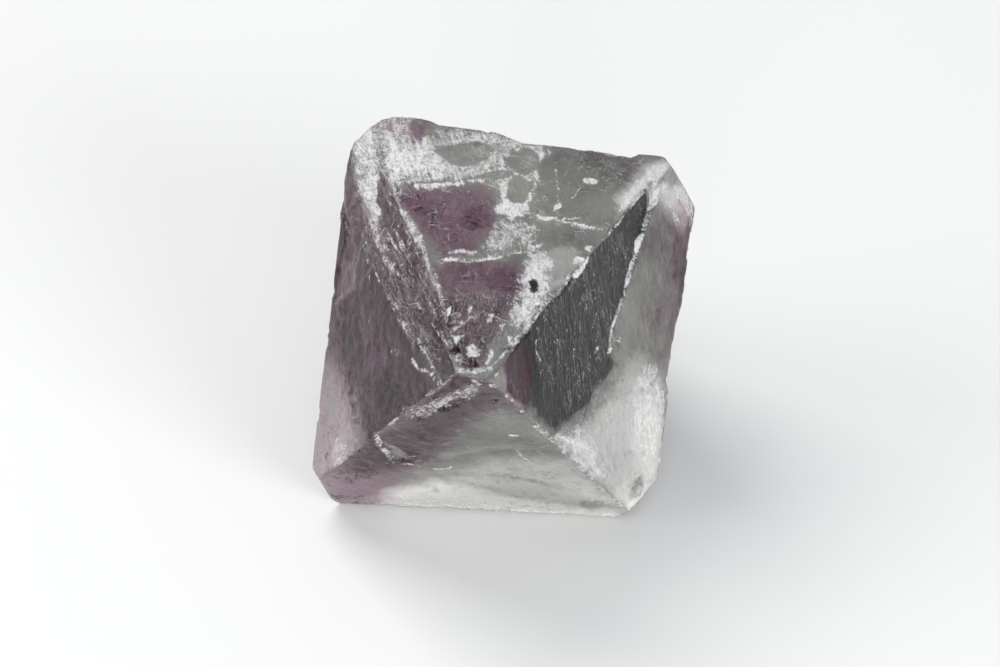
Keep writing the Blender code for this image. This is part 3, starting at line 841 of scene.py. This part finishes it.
paint("haze_and_glow", "right", areas=[
    (0.72, 1.2, [(-9.4, -1.4), (-7, -1.9), (-4, -1.9), (-1.6, -2.4), (0.6, -3), (1.8, -4), (3.4, -5.6),
        (4.6, -7.6), (3.8, -10.4), (1.4, -15), (-2.4, -15), (-5.4, -9), (-7.4, -6)]),
    (0.52, 2.2, [(-3.4, -1.6), (0.6, -1.2), (2.9, -2.4), (4.6, -5), (5.4, -7), (3.8, -10.4), (0, -8)]),
    (0.85, 1.2, [(8.8, 10.4), (12.8, 8.4), (14.4, 5.4), (11.4, 5), (9.2, 7.6)]),
    (0.3, 1, [(2.4, 8.6), (7, 8.8), (10, 9), (14, 6.5), (12, 12), (2, 11)])])
paint("haze_and_glow", "top", areas=[
    (0.8, 0.9, [(8, 3.4), (9.4, 6.4), (11.2, 8), (12.6, 7.6), (9.4, 0.8), (8.6, 1)]),
    (0.28, 0.6, LUMP_OUTLINE), (0.04, 1.5, [(2, 8.6), (9, 8.6), (8.6, 0.8), (3, 1)]),
    (0.12, 0.8, [(-6.8, 8.6), (2, 8.6), (1.6, 1), (-2.6, 4), (-6.6, 4)])], ovals=[
    (0.35, 4, -5.6, 1.8, 3.4, -25)])
paint("haze_and_glow", "left", ovals=[(0.5, 2, -10, 8, 8)])
paint("haze_and_glow", "right_back", whole=0.35, ovals=[(0.7, 2, -8, 6, 5)])
paint("haze_and_glow", "left_back", whole=0.35, ovals=[(0.6, 2, -6, 5, 4)])
paint("haze_and_glow", "rest", whole=1)
paint("haze_and_glow", "back", whole=0.32, ovals=[(0.8, 2, -8, 6, 7)])
report_cover("haze_and_glow")

# %% [markdown]
# ## Scratched places
#
# Some faces were split in many fine steps and look brushed, and others split clean. This mask says how
# strongly the grain of each place shows, both as lines and as relief.

# %% Paint the scratched places
paint("scratch", "right", whole=0.12, areas=[
    (1, 0.6, [(-9.6, 11), (8.6, 11), (6, 7), (1, 3), (-1, 1), (0, -1.5), (-4, -8.5), (-7, -8.5),
        (-10.6, 0.6), (-9.8, 6)]),
    (0.7, 1, [(-9.4, -0.8), (0, -1.5), (4.4, -4), (5.4, -7), (1, -15), (-4, -12)])])
paint("scratch", "ridge_break", whole=1)
paint("scratch", "front", whole=0.36)
paint("scratch", "top", whole=0.5, areas=[
    (1, 0.5, [(-12.5, 4), (-8.2, 2.4), (-7, -4), (-4.4, -9), (2.2, -8.6), (1.4, -13), (0, -18), (-3, -18),
        (-13, 0)])])
paint("scratch", "back", whole=0.35)
paint("scratch", "left", whole=0.1, areas=[
    (0.9, 0.5, [(-11, 5.2), (0, 5.6), (14, 5.2), (17, 10), (-11, 10)])])
paint("scratch", "left_back", whole=0.3)
paint("scratch", "right_back", whole=0.35)
report_cover("scratch")

# %% [markdown]
# ## White bruises
#
# A blow that didn't split the stone crushed it, and crushed fluorite is white. The bruises follow the ledges
# and the ridges, where the blows fell: broad soft patches, thin lines along edges, and small three-cornered
# chips at the front. A few broad white patches low on the right and front faces are painted glow of light
# that comes through the stone, laid over bruising.

# %% Paint the top's bruises
CHIP_STRENGTH = 0.88
CHIP_SOFTNESS = 0.16
APEX_CHIPS = [
    [(-3.1, -12.3), (-1.9, -12.2), (-2.4, -13.3)], [(-2.8, -13.9), (-1.9, -13.8), (-2.4, -15)],
    [(-1, -14.7), (-0.5, -15.3), (-1.1, -16.4), (-1.5, -15.4)], [(1.3, -13.2), (2.1, -13.3), (1.6, -14.1)],
    [(-3.9, -11.2), (-3.3, -10.7), (-3.5, -12)], [(0.1, -15), (0.5, -15.2), (0.4, -17.2), (0, -16.8)],
    [(-1.9, -10.4), (-1.6, -10.3), (-1.9, -11.6)], [(-0.4, -11.2), (0, -11), (-0.2, -12.4)],
    [(0.6, -12.2), (1.1, -12), (0.8, -13)], [(-3.6, -15.4), (-3, -15.2), (-3.2, -16.6)],
    [(-4.9, -12.4), (-4.4, -12.2), (-4.7, -13.8)], [(-2.6, -16.3), (-2.2, -16), (-2.2, -17.3)],
]
paint("frost", "top", areas=[
    (0.42, 0.7, LUMP_OUTLINE),
    (0.64, 0.8, [(-8.4, 2.5), (-5.4, 3.2), (-2.5, 4.1), (-1.4, 3.6), (-1.2, 2), (-0.5, 0.2), (1.2, 0.2),
        (1.6, 2.6), (2, 6), (2.2, 8.6), (-1, 9.2), (-6.4, 9.6), (-7, 7.6), (-8.6, 5)]),
    (0.86, 0.8, [(-12.4, 5.8), (-11.4, 7.6), (-10.5, 7.2), (-10.2, 3), (-9.9, 0.4), (-10.8, -2.8),
        (-12.2, -2), (-13, 2)]),
    (0.78, 0.8, [(-10.4, 7), (-8.6, 6.6), (-6.8, 5.6), (-6.4, 3.4), (-8.3, 2.9), (-9.4, 1.4), (-10.2, 2)]),
    (0.5, 0.8, [(-1.4, -0.9), (2, -0.4), (2.5, -3), (1.2, -3.9), (-0.6, -4.6), (-1.9, -4.4)]),
    (0.46, 0.4, [(8.4, 3), (9.6, 6.6), (11.4, 8), (12.2, 7.4), (9.3, 1), (8.6, 1)]),
    (0.84, 0.8, [(1.6, -3.6), (3.2, -4), (3.9, -6.4), (4.2, -8), (3.6, -10.2), (2.3, -12.6), (1.2, -11),
        (1.5, -8.6), (1.5, -6.4)]),
    (0.06, 1.3, [(-4.4, -8.4), (2, -9), (1.4, -13), (0, -18), (-2.2, -18.2), (-4.2, -13)])], ovals=[
    (1, 0, 0.8, 1.5, 1.2), (1, 3.4, 1.5, 0.4, 0.5), (1, 5.7, 4.6, 0.6, 0.45), (1, 5.6, -4.4, 0.5, 0.6),
    (0.9, 6.2, -3, 0.35, 0.4)], strokes=[
    (1, 0.45, [(-10, 7.2), (-9.2, 5.6), (-8.4, 3.6)]), (1, 0.26, [(-7.5, 2.3), (-5, 2.9), (-2.4, 3.9)]),
    (0.85, 0.3, [(-5.6, 4.6), (-3.6, 5.1), (-2, 5.5)]),
    (0.95, 1.1, [(-8.8, -0.6), (-7.6, -2.6), (-6.4, -5), (-5.6, -7.4), (-4.6, -9.8)]),
    (0.72, 0.5, [(-9.3, 1.6), (-8.8, -0.6)]),
    (0.86, 0.26, [(-4.2, -5.8), (-1.8, -5.3), (1.5, -3.9), (2.9, -3.1)]),
    (0.72, 0.36, [(-4, -5), (-3, -4.6), (-2.2, -4.6)]), (0.9, 0.4, [(-0.9, 2.6), (0, 0.8), (0.2, -0.6)]),
    (0.9, 0.34, [(-1.6, 6.6), (-1, 5), (-1, 3), (-0.3, 1.4)]),
    (0.9, 0.34, [(1.7, 7.4), (1.4, 5.8), (1.6, 4.2), (1.1, 2.6), (0.6, 1.2)]),
    (0.85, 0.16, [(0.5, 0.35), (3, 0.12), (5.2, 0.2)]),
    (0.95, 0.16, [(1.4, 0), (4, -0.1), (6, -0.5), (8, -0.6)]),
    (0.72, 0.15, [(3.2, 0.8), (3.5, 1.8), (3.3, 3.4), (2.8, 5.6)]),
    (0.62, 0.14, [(3.5, 1.8), (4.6, 2.6), (5, 4)]),
    (0.85, 0.22, [(0.4, -17.6), (2, -13.8), (3.8, -10), (6, -5), (8.3, -0.2), (11.9, 7.6)]),
    (0.8, 0.35, [(-5.2, -13), (-4.8, -15), (-4.2, -17.4)]),
    (0.8, 0.55, [(-5.4, -16), (-3.6, -17.6), (-1.4, -18.2), (0.6, -17.4)]),
    (0.62, 0.3, [(8, 0.8), (9, 3.4), (10.4, 5.8), (12, 7.6)]),
    (0.56, 0.24, [(8.6, 3.6), (9.6, 5.6), (11.2, 7.6)])])
paint("frost", "top", areas=[(CHIP_STRENGTH, CHIP_SOFTNESS, chip) for chip in APEX_CHIPS])
report_cover("frost")

# %% Paint the sides' bruises
paint("frost", "ridge_break", areas=[
    (0.56, 0.9, [(-14, -3), (-8.5, -2.2), (-8.8, 2.4), (-14, 3)])], strokes=[
    (0.56, 0.7, [(-8.5, 0.4), (-4, 0), (1, -0.4)]),
    (0.6, 0.45, [(-9, -1.9), (-2, -1.9), (6, -2), (12, -1.6)])])
paint("frost", "right", areas=[
    (0.6, 0.8, [(-10, -0.5), (-6.8, -1.6), (-5.6, -4), (-5, -8), (-6.4, -8.4), (-8.4, -4.4)])], ovals=[
    (0.95, 8.4, 9, 0.5, 0.35), (0.95, 5.6, 7.3, 1.1, 0.35, 32), (0.85, 3.1, 5.1, 0.75, 0.24, 32),
    (0.85, 0.3, 3.2, 0.5, 0.22, 32), (0.95, -0.9, 1.3, 0.45, 0.3, 10), (0.95, -2.4, 10.2, 1.4, 0.6),
    # The three large ovals low on this face are painted glow of light coming through the stone, whiter than
    # the milk there.
    (0.56, 2.6, -5, 2.6, 2.6), (0.5, 1.6, -8, 2.6, 3.6), (0.6, 4.2, -7.2, 0.9, 1.4)], strokes=[
    (0.85, 0.13, [(-5.5, 4), (-5.2, 4.5)]), (0.8, 0.13, [(-2.9, 2.3), (-2.4, 2.7), (-2.2, 2.4)]),
    (0.6, 0.34, [(9, 9.6), (7, 8.2), (4.2, 6.2), (1.8, 4.1), (0, 3), (-1, 1.4)]),
    (0.62, 0.9, [(9.2, 9.8), (11.4, 8.4), (12.8, 6.6), (12.8, 4.4)]),
    (0.6, 0.5, [(8.8, 9.4), (10.2, 7.6), (10.8, 5.6)]), (0.85, 0.25, [(-9, 10.3), (0, 10.5), (12, 10.8)]),
    (0.75, 0.2, [(-9.5, 8.2), (-9.7, 7.2), (-9.4, 6.4)]),
    (0.66, 0.5, [(-13.6, 4), (-11.6, 0.4), (-9.4, -3.4), (-5.6, -9.6)]),
    (0.72, 0.26, [(-10.2, -1.2), (-7.6, -3.6), (-6.2, -6.4)]),
    (0.72, 0.22, [(-8.6, -1.4), (-5.6, -3.4), (-4.2, -6.6)]),
    (0.56, 0.7, [(2.6, -3.2), (2.9, -5.6), (1.6, -8.8)]),
    (0.6, 0.6, [(3.8, -4.4), (4.4, -6.6), (3.6, -9)])])
paint("frost", "corner_top_right", whole=0.66)
paint("frost", "front", areas=[
    (0.54, 0.6, [(-7, 10.5), (-5.6, 11.8), (-3, 14.4), (-0.9, 16.7), (-0.3, 15.7), (-2.6, 12.8),
        (-4.8, 9.8), (-6.3, 9.5)]),
    # The wide area along the front's foot is painted glow of light leaving the stone, whiter than the milk
    # there.
    (0.44, 1.4, [(-8.4, -5.6), (-4, -4.6), (2, -6.4), (9, -7.8), (9, -9.5), (-9.6, -9.5)])], ovals=[
    (0.85, 0.2, 16.4, 0.35, 0.5), (0.95, -1, 16.5, 0.6, 0.35), (0.95, 1.6, 7.4, 0.4, 0.3)], strokes=[
    (0.66, 0.18, [(-9.1, 5.6), (-8.9, 3.8), (-8.2, 1.6), (-6.9, 1.6), (-6, 1.9)]),
    (0.66, 0.2, [(-8.4, 0.8), (-6.6, 0.9), (-5.6, 0.3), (-3.6, 0.4), (-3.3, 1)]),
    (0.75, 0.16, [(1.7, 4.4), (2.1, 3.6), (2.7, 2.6)]),
    (0.55, 0.16, [(-7.8, -5.6), (-7.4, -6.8), (-6.8, -7.8)]),
    (0.66, 0.4, [(3.2, 9.4), (4.8, 6.2), (6.8, 1.6), (9.8, -5.6)])])
paint("frost", "left", areas=[
    (0.66, 0.8, [(-9.6, 10), (-4, 9.4), (-3, 7.4), (-0.8, 6.4), (-4, 5.9), (-8, 5.8)])], ovals=[
    (0.46, 4.2, -8.8, 1.4, 1.8, -30)], strokes=[
    (0.7, 0.25, [(-3.6, 5.5), (-1.6, 5.2)]), (0.85, 0.3, [(0.2, 6.2), (0.9, 7.8), (1.5, 8.4)]),
    (0.75, 0.25, [(3.6, 5.6), (5.6, 5.1)]), (0.9, 0.3, [(9.3, 4.2), (10.4, 4.3), (11.5, 5.1), (13.8, 5.6)]),
    (0.48, 0.4, [(6.2, 2.6), (8, 3.9)]), (0.46, 0.4, [(-3.7, 5), (-3.4, 2), (-3.9, -0.4)]),
    (0.44, 0.16, [(-1.6, 5.6), (0.6, 3.4), (1.8, 1.6)]), (0.44, 0.14, [(0.8, 5.6), (2.6, 3.2)]),
    (0.44, 0.14, [(-6, 4.8), (-4.6, 2.4)])])
report_cover("frost")

# %% [markdown]
# ## Bruises that follow the shape
#
# The rest of the white needs no drawing, because the shape already says where it is: on torn fibres, in
# nibbled crumbs, along ledges and on edges, in patches. Along the ledges it is partly bruise and partly a
# painted highlight, where a scarp catches the light. Last, a few windows are wiped clean, where a dish split
# smoothly.

# %% Add the shape's own bruises
TORN_STRENGTH = 0.50
CRUMB_STRENGTH = 0.60
LEDGE_BRUISE_AND_HIGHLIGHT_STRENGTH = 0.46
EDGE_STRENGTH = 0.70
EDGE_BRUISE_WIDTH = 0.35
LEAST_OF_LEDGE = 0.35
LUMP_SPARED = 0.7

torn = smooth_step(flat_noise("ridge_break", 2.2, 0.24, 33, 3), 0.25, 0.8)
torn = TORN_STRENGTH * torn * share_of("ridge_break")
patchy = smooth_step(layered_noise(whole_points, 1.3, 91), -0.3, 0.7)
edges_bruised = smooth_step(-edge_distance, -EDGE_BRUISE_WIDTH, 0) * patchy * (1 - LUMP_SPARED * on_lump)
# White along ledge scarps and pit rims: bruises, and on the scarps also a painted highlight.
ledge_bruises_and_highlights = sum(scarps[name] * share_of(name) for name in PLANE_NAMES)
ledge_bruises_and_highlights = ledge_bruises_and_highlights * (LEAST_OF_LEDGE + (1 - LEAST_OF_LEDGE) * patchy)
found_bruises = [torn, CRUMB_STRENGTH * crumbs, LEDGE_BRUISE_AND_HIGHLIGHT_STRENGTH * ledge_bruises_and_highlights, EDGE_STRENGTH * edges_bruised]
marks["frost"] = np.max([marks["frost"], *found_bruises], axis=0) * (1 - on_rest)
LUMP_WINDOW = (-7.4, 8.8, 1, 2.6, -4)
wipe("frost", "top", [
    (0.7, *LUMP_WINDOW), (0.85, -4.2, 6.6, 2.3, 1.4, 22), (0.9, -1.8, 4.4, 1.6, 0.6, 15),
    (0.85, 0.3, 6.4, 1.5, 1.5), (0.9, 0.3, 3.1, 1, 1.8), (1, 2.7, -7.8, 0.45, 0.8)])
wipe("haze_and_glow", "top", [(0.6, *LUMP_WINDOW)])
report_cover("frost")

# %% [markdown]
# ## The grain of each face
#
# Fine scratches and fibres follow the direction in which a face was split: down the right face, along the
# torn ridge, and in wide curves round the front face. A UV map can carry such directions. Here U runs across
# the grain and V along it, in millimetres, so a texture that is stretched along V becomes fibres on every
# face.

# %% Work out the grain's coordinates
SWIRL_CENTRE = (-9.0, -16.0)
SWIRL_RADIUS = 18.0
PLAIN_HEADING = 45.0
GRAIN_HEADINGS = {"top": 108, "apex_flat": 98, "ridge_break": -8, "right": 84, "left": 65, "back": 60,
                  "left_back": 30, "right_back": 110}
GRAIN_PATCHES = [
    ("front", 48, [(-8, 10.5), (-3.4, 14.8), (-0.6, 17.4), (0.4, 15.6), (-4.8, 9), (-6.8, 8.8)]),
    ("right", 122, [(-10.4, 0), (-6.4, -1.4), (-4.6, -4), (-3.4, -9), (-6.8, -9), (-9.4, -4)]),
    ("top", 92, [(-6, -8), (4.5, -8), (3, -13), (0, -19), (-5, -19)]),
]


def straight_grain(name, heading):
    """Millimetres across and along straight lines with a heading on a face."""
    sine_here, cosine_here = math.sin(math.radians(heading)), math.cos(math.radians(heading))
    return place_on[name] @ np.array([[-sine_here, cosine_here], [cosine_here, sine_here]])


def grain_of(name):
    """Millimetres across and along a face's grain: rings on the front, straight lines elsewhere."""
    if name != "front":
        return straight_grain(name, GRAIN_HEADINGS.get(name, PLAIN_HEADING))
    across, upward = (place_on[name] - SWIRL_CENTRE).T
    return np.stack([np.hypot(across, upward), np.arctan2(upward, across) * SWIRL_RADIUS], axis=1)


face_of_triangle = share[triangles][..., :len(PLANE_NAMES)].sum(axis=1).argmax(axis=1)
all_grains = np.stack([grain_of(name) for name in PLANE_NAMES])
grain_uv = all_grains[face_of_triangle[:, None], triangles]
for name, heading, outline in GRAIN_PATCHES:
    inside = (depth_inside(place_on[name], outline) > 0)[triangles].all(axis=1)
    inside &= face_of_triangle == PLANE_NAMES.index(name)
    grain_uv[inside] = straight_grain(name, heading)[triangles[inside]]
print("grain laid on", len(np.unique(face_of_triangle)), "faces")

# %% [markdown]
# ## The mesh
#
# The arrays go into a mesh with foreach_set, which is far quicker than point by point. The masks become
# attributes, and the grain becomes a UV map. The faces are shaded smooth, because at this fineness every edge
# is real geometry.

# %% Make the stone's mesh


def mesh_from_arrays(name, points, faces):
    """A triangle mesh from an array of points in metres and an array of three point numbers a face."""
    mesh = bpy.data.meshes.new(name)
    mesh.vertices.add(len(points))
    mesh.vertices.foreach_set("co", points.astype(np.float32).ravel())
    mesh.loops.add(faces.size)
    mesh.loops.foreach_set("vertex_index", faces.astype(np.int32).ravel())
    mesh.polygons.add(len(faces))
    mesh.polygons.foreach_set("loop_start", np.arange(0, faces.size, 3, dtype=np.int32))
    mesh.update(calc_edges=True)
    mesh.validate()
    mesh.shade_smooth()
    return mesh


def signed_volume(points, faces):
    """Volume inside a closed surface: a sixth of the sum of each triangle's triple product."""
    a, b, c = points[faces[:, 0]], points[faces[:, 1]], points[faces[:, 2]]
    return float((a * np.cross(b, c)).sum() / 6)


if signed_volume(crystal_points, triangles) < 0:
    triangles = triangles[:, ::-1]
    grain_uv = grain_uv[:, ::-1]
stone_mesh = mesh_from_arrays("fluorite_stone", crystal_points * MM, triangles)
for name, values in marks.items():
    stone_mesh.attributes.new(name, "FLOAT", "POINT").data.foreach_set("value", values.astype(np.float32))
stone_mesh.uv_layers.new(name="grain").data.foreach_set("uv", grain_uv.astype(np.float32).ravel())
stone = bpy.data.objects.new("fluorite_stone", stone_mesh)
bpy.context.scene.collection.objects.link(stone)
print("stone of", round(signed_volume(crystal_points, triangles) / 1000, 2), "cubic centimetres")

# %% [markdown]
# ## The material
#
# Fluorite bends light only a little, with an index of refraction of 1.434, and takes a soft gloss. Light
# passes the clear parts, is scattered by milky ones, and is thrown back by bruises. So the shader stays a
# plain glassy one, and the masks steer its colour, roughness and surface.

# %% Helpers for nodes


def add_node(tree, kind, **settings):
    """A new node with its settings and its inputs by name or number: values, or sockets that feed them."""
    node = tree.nodes.new(kind)
    inputs = settings.pop("inputs", {})
    for name, value in settings.items():
        setattr(node, name, value)
    for name, value in inputs.items():
        if isinstance(value, bpy.types.NodeSocket):
            tree.links.new(value, node.inputs[name])
        else:
            node.inputs[name].default_value = value
    return node


def calculate(tree, operation, *numbers, clamp=False):
    """A Math node's result."""
    inputs = dict(enumerate(numbers))
    return add_node(tree, "ShaderNodeMath", operation=operation, use_clamp=clamp, inputs=inputs).outputs[0]


def multiply(tree, first, second):
    """The product of two values."""
    return calculate(tree, "MULTIPLY", first, second)


def add_part(tree, base, value, part, clamp=False):
    """A base plus part of a value: the value times the part, added to the base."""
    return calculate(tree, "MULTIPLY_ADD", value, part, base, clamp=clamp)


def lay_over(tree, below, above, cover):
    """The colour below, covered by the colour above as far as the cover says."""
    return add_node(tree, "ShaderNodeMix", data_type="RGBA", inputs={0: cover, 6: below, 7: above}).outputs[2]


def remap(tree, value, low, high, to_low=0.0, to_high=1.0):
    """A value's place between two limits, moved to between two others and held there."""
    inputs = {"Value": value, "From Min": low, "From Max": high, "To Min": to_low, "To Max": to_high}
    return add_node(tree, "ShaderNodeMapRange", inputs=inputs).outputs["Result"]


def attribute(tree, name):
    """A mask that is stored on the mesh."""
    return add_node(tree, "ShaderNodeAttribute", attribute_name=name).outputs["Fac"]


def noise(tree, vector, scale, detail, rough=0.5, warped=0.0):
    """Noise from 0 to 1, mostly between 0.3 and 0.7."""
    inputs = {"Vector": vector, "Scale": scale, "Detail": detail, "Roughness": rough, "Distortion": warped}
    return add_node(tree, "ShaderNodeTexNoise", inputs=inputs).outputs["Fac"]


def swing(tree, *settings):
    """Noise stretched so that it swings from -1 to 1."""
    return remap(tree, noise(tree, *settings), 0.3, 0.7, -1.0, 1.0)


def hairlines(tree, vector, scale, width):
    """Thin wandering lines: where noise passes through its middle value, a line runs."""
    off_middle = calculate(tree, "SUBTRACT", noise(tree, vector, scale, 2.0), 0.5)
    return remap(tree, calculate(tree, "ABSOLUTE", off_middle), 0.0, width, 1.0, 0.0)


print("node helpers ready")

# %% [markdown]
# ## Four noises and a grain
#
# One noise looks like a pattern, and four at very different scales look like a mineral. Cloud is a few
# millimetres wide, mottle about one, grit a few tenths, and speck is as fine as dust. Fibre is noise squeezed
# along the grain, whose lines the cloud bends a little. Added to a mask before its threshold, they break up
# its border.

# %% Mix the noises
CLOUD_SCALE = 260.0
MOTTLE_SCALE = 900.0
GRIT_SCALE = 2600.0
SPECK_SCALE = 8000.0
FIBRE_SCALE = 4.4
GRAIN_SQUEEZE = (1.0, 0.12, 1.0)
BEND_OF_GRAIN = 0.7


def stone_noises(tree):
    """The noises by name, each swinging from -1 to 1, and the vectors that they are laid on."""
    place = add_node(tree, "ShaderNodeTexCoord").outputs["Object"]
    grain = add_node(tree, "ShaderNodeUVMap", uv_map="grain").outputs["UV"]
    cloud = swing(tree, place, CLOUD_SCALE, 4.0, 0.55)
    mottle = swing(tree, place, MOTTLE_SCALE, 4.0, 0.65, 0.6)
    grit = swing(tree, place, GRIT_SCALE, 3.0, 0.6, 0.8)
    speck = swing(tree, place, SPECK_SCALE, 2.0, 0.6)
    kind = "ShaderNodeVectorMath"
    bend = add_node(tree, kind, operation="SCALE", inputs={0: cloud, "Scale": BEND_OF_GRAIN}).outputs[0]
    bent = add_node(tree, kind, operation="ADD", inputs={0: grain, 1: bend}).outputs[0]
    along = add_node(tree, "ShaderNodeMapping", inputs={"Vector": bent, "Scale": GRAIN_SQUEEZE}).outputs[0]
    streak = swing(tree, along, FIBRE_SCALE, 4.0, 0.62)
    uneven = add_part(tree, multiply(tree, mottle, 0.30), cloud, 0.28)
    uneven = add_part(tree, uneven, grit, 0.26)
    return {"place": place, "along": along, "cloud": cloud, "mottle": mottle, "grit": grit,
            "speck": speck, "streak": streak, "uneven": uneven}


print("noises from", CLOUD_SCALE, "to", SPECK_SCALE, "per metre")

# %% [markdown]
# ## Layers of colour
#
# The colours are laid over each other: the clear body, violet and milk in it, the milk partly a painted glow
# of light, painted shade that darkens the clear faces, then what lies on the surface, which is sparkle,
# hairlines and bruises, with some painted light among the bruises. Each layer is covered by the next as far
# as its own mask says.

# %% Lay the colours
CLEAR_COLOUR = (0.190, 0.195, 0.172, 1.0)
VIOLET_COLOUR = (0.128, 0.054, 0.090, 1.0)
DEEP_VIOLET_COLOUR = (0.0160, 0.0015, 0.0060, 1.0)
# The near-black grey next is painted shade, a little of which lies everywhere; the two pale colours are milk
# and painted glow.
PAINTED_SHADE_COLOUR = (0.0040, 0.0043, 0.0042, 1.0)
HAZE_AND_GLOW_COLOUR = (0.97, 0.97, 0.92, 1.0)
ROSY_HAZE_AND_GLOW_COLOUR = (0.90, 0.70, 0.76, 1.0)
FROST_COLOUR = (1.0, 0.99, 1.0, 1.0)
LEAST_PAINTED_SHADE = 0.06
CRACK_SCALE = 420.0
LINE_SCALE = 2.6


def body_colour(tree, noises, fibre):
    """The stone's colour with light and shade painted in: clear, then violet, then milk that is partly
    painted glow, then painted shade, and the deepest violet over all.
    """
    violet = add_part(tree, attribute(tree, "violet"), noises["uneven"], 0.72, clamp=True)
    tinted = remap(tree, violet, 0.1, 0.65)
    clear = lay_over(tree, CLEAR_COLOUR, VIOLET_COLOUR, tinted)
    milk_and_glow = lay_over(tree, HAZE_AND_GLOW_COLOUR, ROSY_HAZE_AND_GLOW_COLOUR, tinted)

    # The milk mask is partly a painted glow of light that comes through the stone.
    raggedness = remap(tree, attribute(tree, "haze_and_glow"), 0.0, 0.3, 0.0, 0.55)
    haze_and_glow = calculate(tree, "ADD", attribute(tree, "haze_and_glow"), multiply(tree, noises["uneven"], raggedness))
    haze_and_glow = add_part(tree, haze_and_glow, fibre, multiply(tree, haze_and_glow, 0.24), clamp=True)
    veil = remap(tree, add_part(tree, noises["mottle"], noises["grit"], 0.5), -0.2, 1.5, 0.0, 0.20)
    milky_and_glowing = lay_over(tree, clear, milk_and_glow, calculate(tree, "MAXIMUM", haze_and_glow, veil))

    # Painted shade: a near-black grey where the clear faces look dark, and a little everywhere.
    raggedness = remap(tree, attribute(tree, "painted_shade"), 0.5, 1.0, 0.90, 0.12)
    painted_shade = multiply(tree, attribute(tree, "painted_shade"), remap(tree, fibre, -1.0, 1.0, 1.25, 0.94))
    painted_shade = calculate(tree, "ADD", painted_shade, LEAST_PAINTED_SHADE)
    painted_shade = calculate(tree, "ADD", painted_shade, multiply(tree, noises["uneven"], raggedness), clamp=True)
    with_painted_shade = lay_over(tree, milky_and_glowing, PAINTED_SHADE_COLOUR, painted_shade)
    return lay_over(tree, with_painted_shade, DEEP_VIOLET_COLOUR, remap(tree, violet, 0.72, 1.0))


def surface_lines(tree, noises, scratch):
    """Sparkle and lines: scratches along the grain, and hairline cracks where no shade is painted."""
    sparkle = remap(tree, noises["speck"], 0.75, 1.25, 0.0, 0.6)
    sparkle = multiply(tree, sparkle, remap(tree, noises["cloud"], -0.2, 0.8))
    lines = hairlines(tree, noises["along"], LINE_SCALE, 0.016)
    lines = multiply(tree, lines, remap(tree, noises["cloud"], -0.9, 0.8, 0.05, 0.50))
    cracks = hairlines(tree, noises["place"], CRACK_SCALE, 0.014)
    cracks = multiply(tree, cracks, remap(tree, noises["mottle"], -0.3, 0.7, 0.0, 0.7))
    cracks = multiply(tree, cracks, remap(tree, attribute(tree, "painted_shade"), 0.3, 0.8, 1.0, 0.0))
    return sparkle, multiply(tree, calculate(tree, "MAXIMUM", lines, cracks), scratch)


def frost_cover(tree, noises):
    """How bruised a place is: the mask, broken up by streaks and grit, between two thresholds."""
    broken = add_part(tree, multiply(tree, noises["speck"], 0.12), noises["streak"], 0.36)
    broken = add_part(tree, add_part(tree, broken, noises["uneven"], 0.50), noises["grit"], 0.08)
    broken = multiply(tree, broken, remap(tree, attribute(tree, "frost"), 0.0, 0.3))
    return remap(tree, calculate(tree, "ADD", attribute(tree, "frost"), broken), 0.28, 1.02)


print("layers ready")

# %% [markdown]
# ## The finished fluorite
#
# The layers feed one Principled shader. Bruises are rough as well as white, and they are gritty in the
# relief, while the clear faces keep a satin gloss. A volume that absorbs a little light gives the body its
# depth.

# %% Mix the fluorite
FLUORITE_IOR = 1.434
SPECULAR_LEVEL = 0.15
TRANSMISSION = 0.60
ABSORPTION_COLOUR = (0.76, 0.72, 0.75, 1.0)
ABSORPTION_DENSITY = 8.0
BRUISED_ROUGHNESS = 0.5
RELIEF_STRENGTH = 0.24
RELIEF_DISTANCE = 0.00005


def fluorite_material():
    """See-through fluorite whose colour, roughness and relief follow the masks and the grain."""
    material = bpy.data.materials.new("fluorite")
    material.use_nodes = True
    tree = material.node_tree
    shader = tree.nodes["Principled BSDF"]
    shader.inputs["Transmission Weight"].default_value = TRANSMISSION
    shader.inputs["IOR"].default_value = FLUORITE_IOR
    shader.inputs["Specular IOR Level"].default_value = SPECULAR_LEVEL
    depth = add_node(tree, "ShaderNodeVolumeAbsorption",
                     inputs={"Color": ABSORPTION_COLOUR, "Density": ABSORPTION_DENSITY})
    tree.links.new(depth.outputs["Volume"], tree.nodes["Material Output"].inputs["Volume"])

    noises = stone_noises(tree)
    scratch = attribute(tree, "scratch")
    fibre = multiply(tree, noises["streak"], scratch)
    sparkle, lines = surface_lines(tree, noises, scratch)
    frost = frost_cover(tree, noises)
    dusting = remap(tree, calculate(tree, "ADD", noises["grit"], noises["speck"]), -1.2, 0.8, 0.62, 1.0)
    colour = body_colour(tree, noises, fibre)
    for cover in (sparkle, lines, multiply(tree, frost, dusting)):
        colour = lay_over(tree, colour, FROST_COLOUR, cover)
    tree.links.new(colour, shader.inputs["Base Color"])

    satin = remap(tree, noises["mottle"], -1.0, 1.0, 0.08, 0.17)
    roughness = add_node(tree, "ShaderNodeMix", inputs={0: frost, 2: satin, 3: BRUISED_ROUGHNESS}).outputs[0]
    tree.links.new(roughness, shader.inputs["Roughness"])
    relief = add_part(tree, calculate(tree, "ADD", fibre, noises["mottle"]), noises["speck"], frost)
    bump = add_node(tree, "ShaderNodeBump", inputs={"Strength": RELIEF_STRENGTH, "Distance": RELIEF_DISTANCE,
                                                    "Height": relief})
    tree.links.new(bump.outputs["Normal"], shader.inputs["Normal"])
    return material


stone_mesh.materials.append(fluorite_material())
print("fluorite mixed")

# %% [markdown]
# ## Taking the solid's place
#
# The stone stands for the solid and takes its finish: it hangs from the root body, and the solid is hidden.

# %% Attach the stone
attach(stone, "root")
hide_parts("fluorite_octahedron")
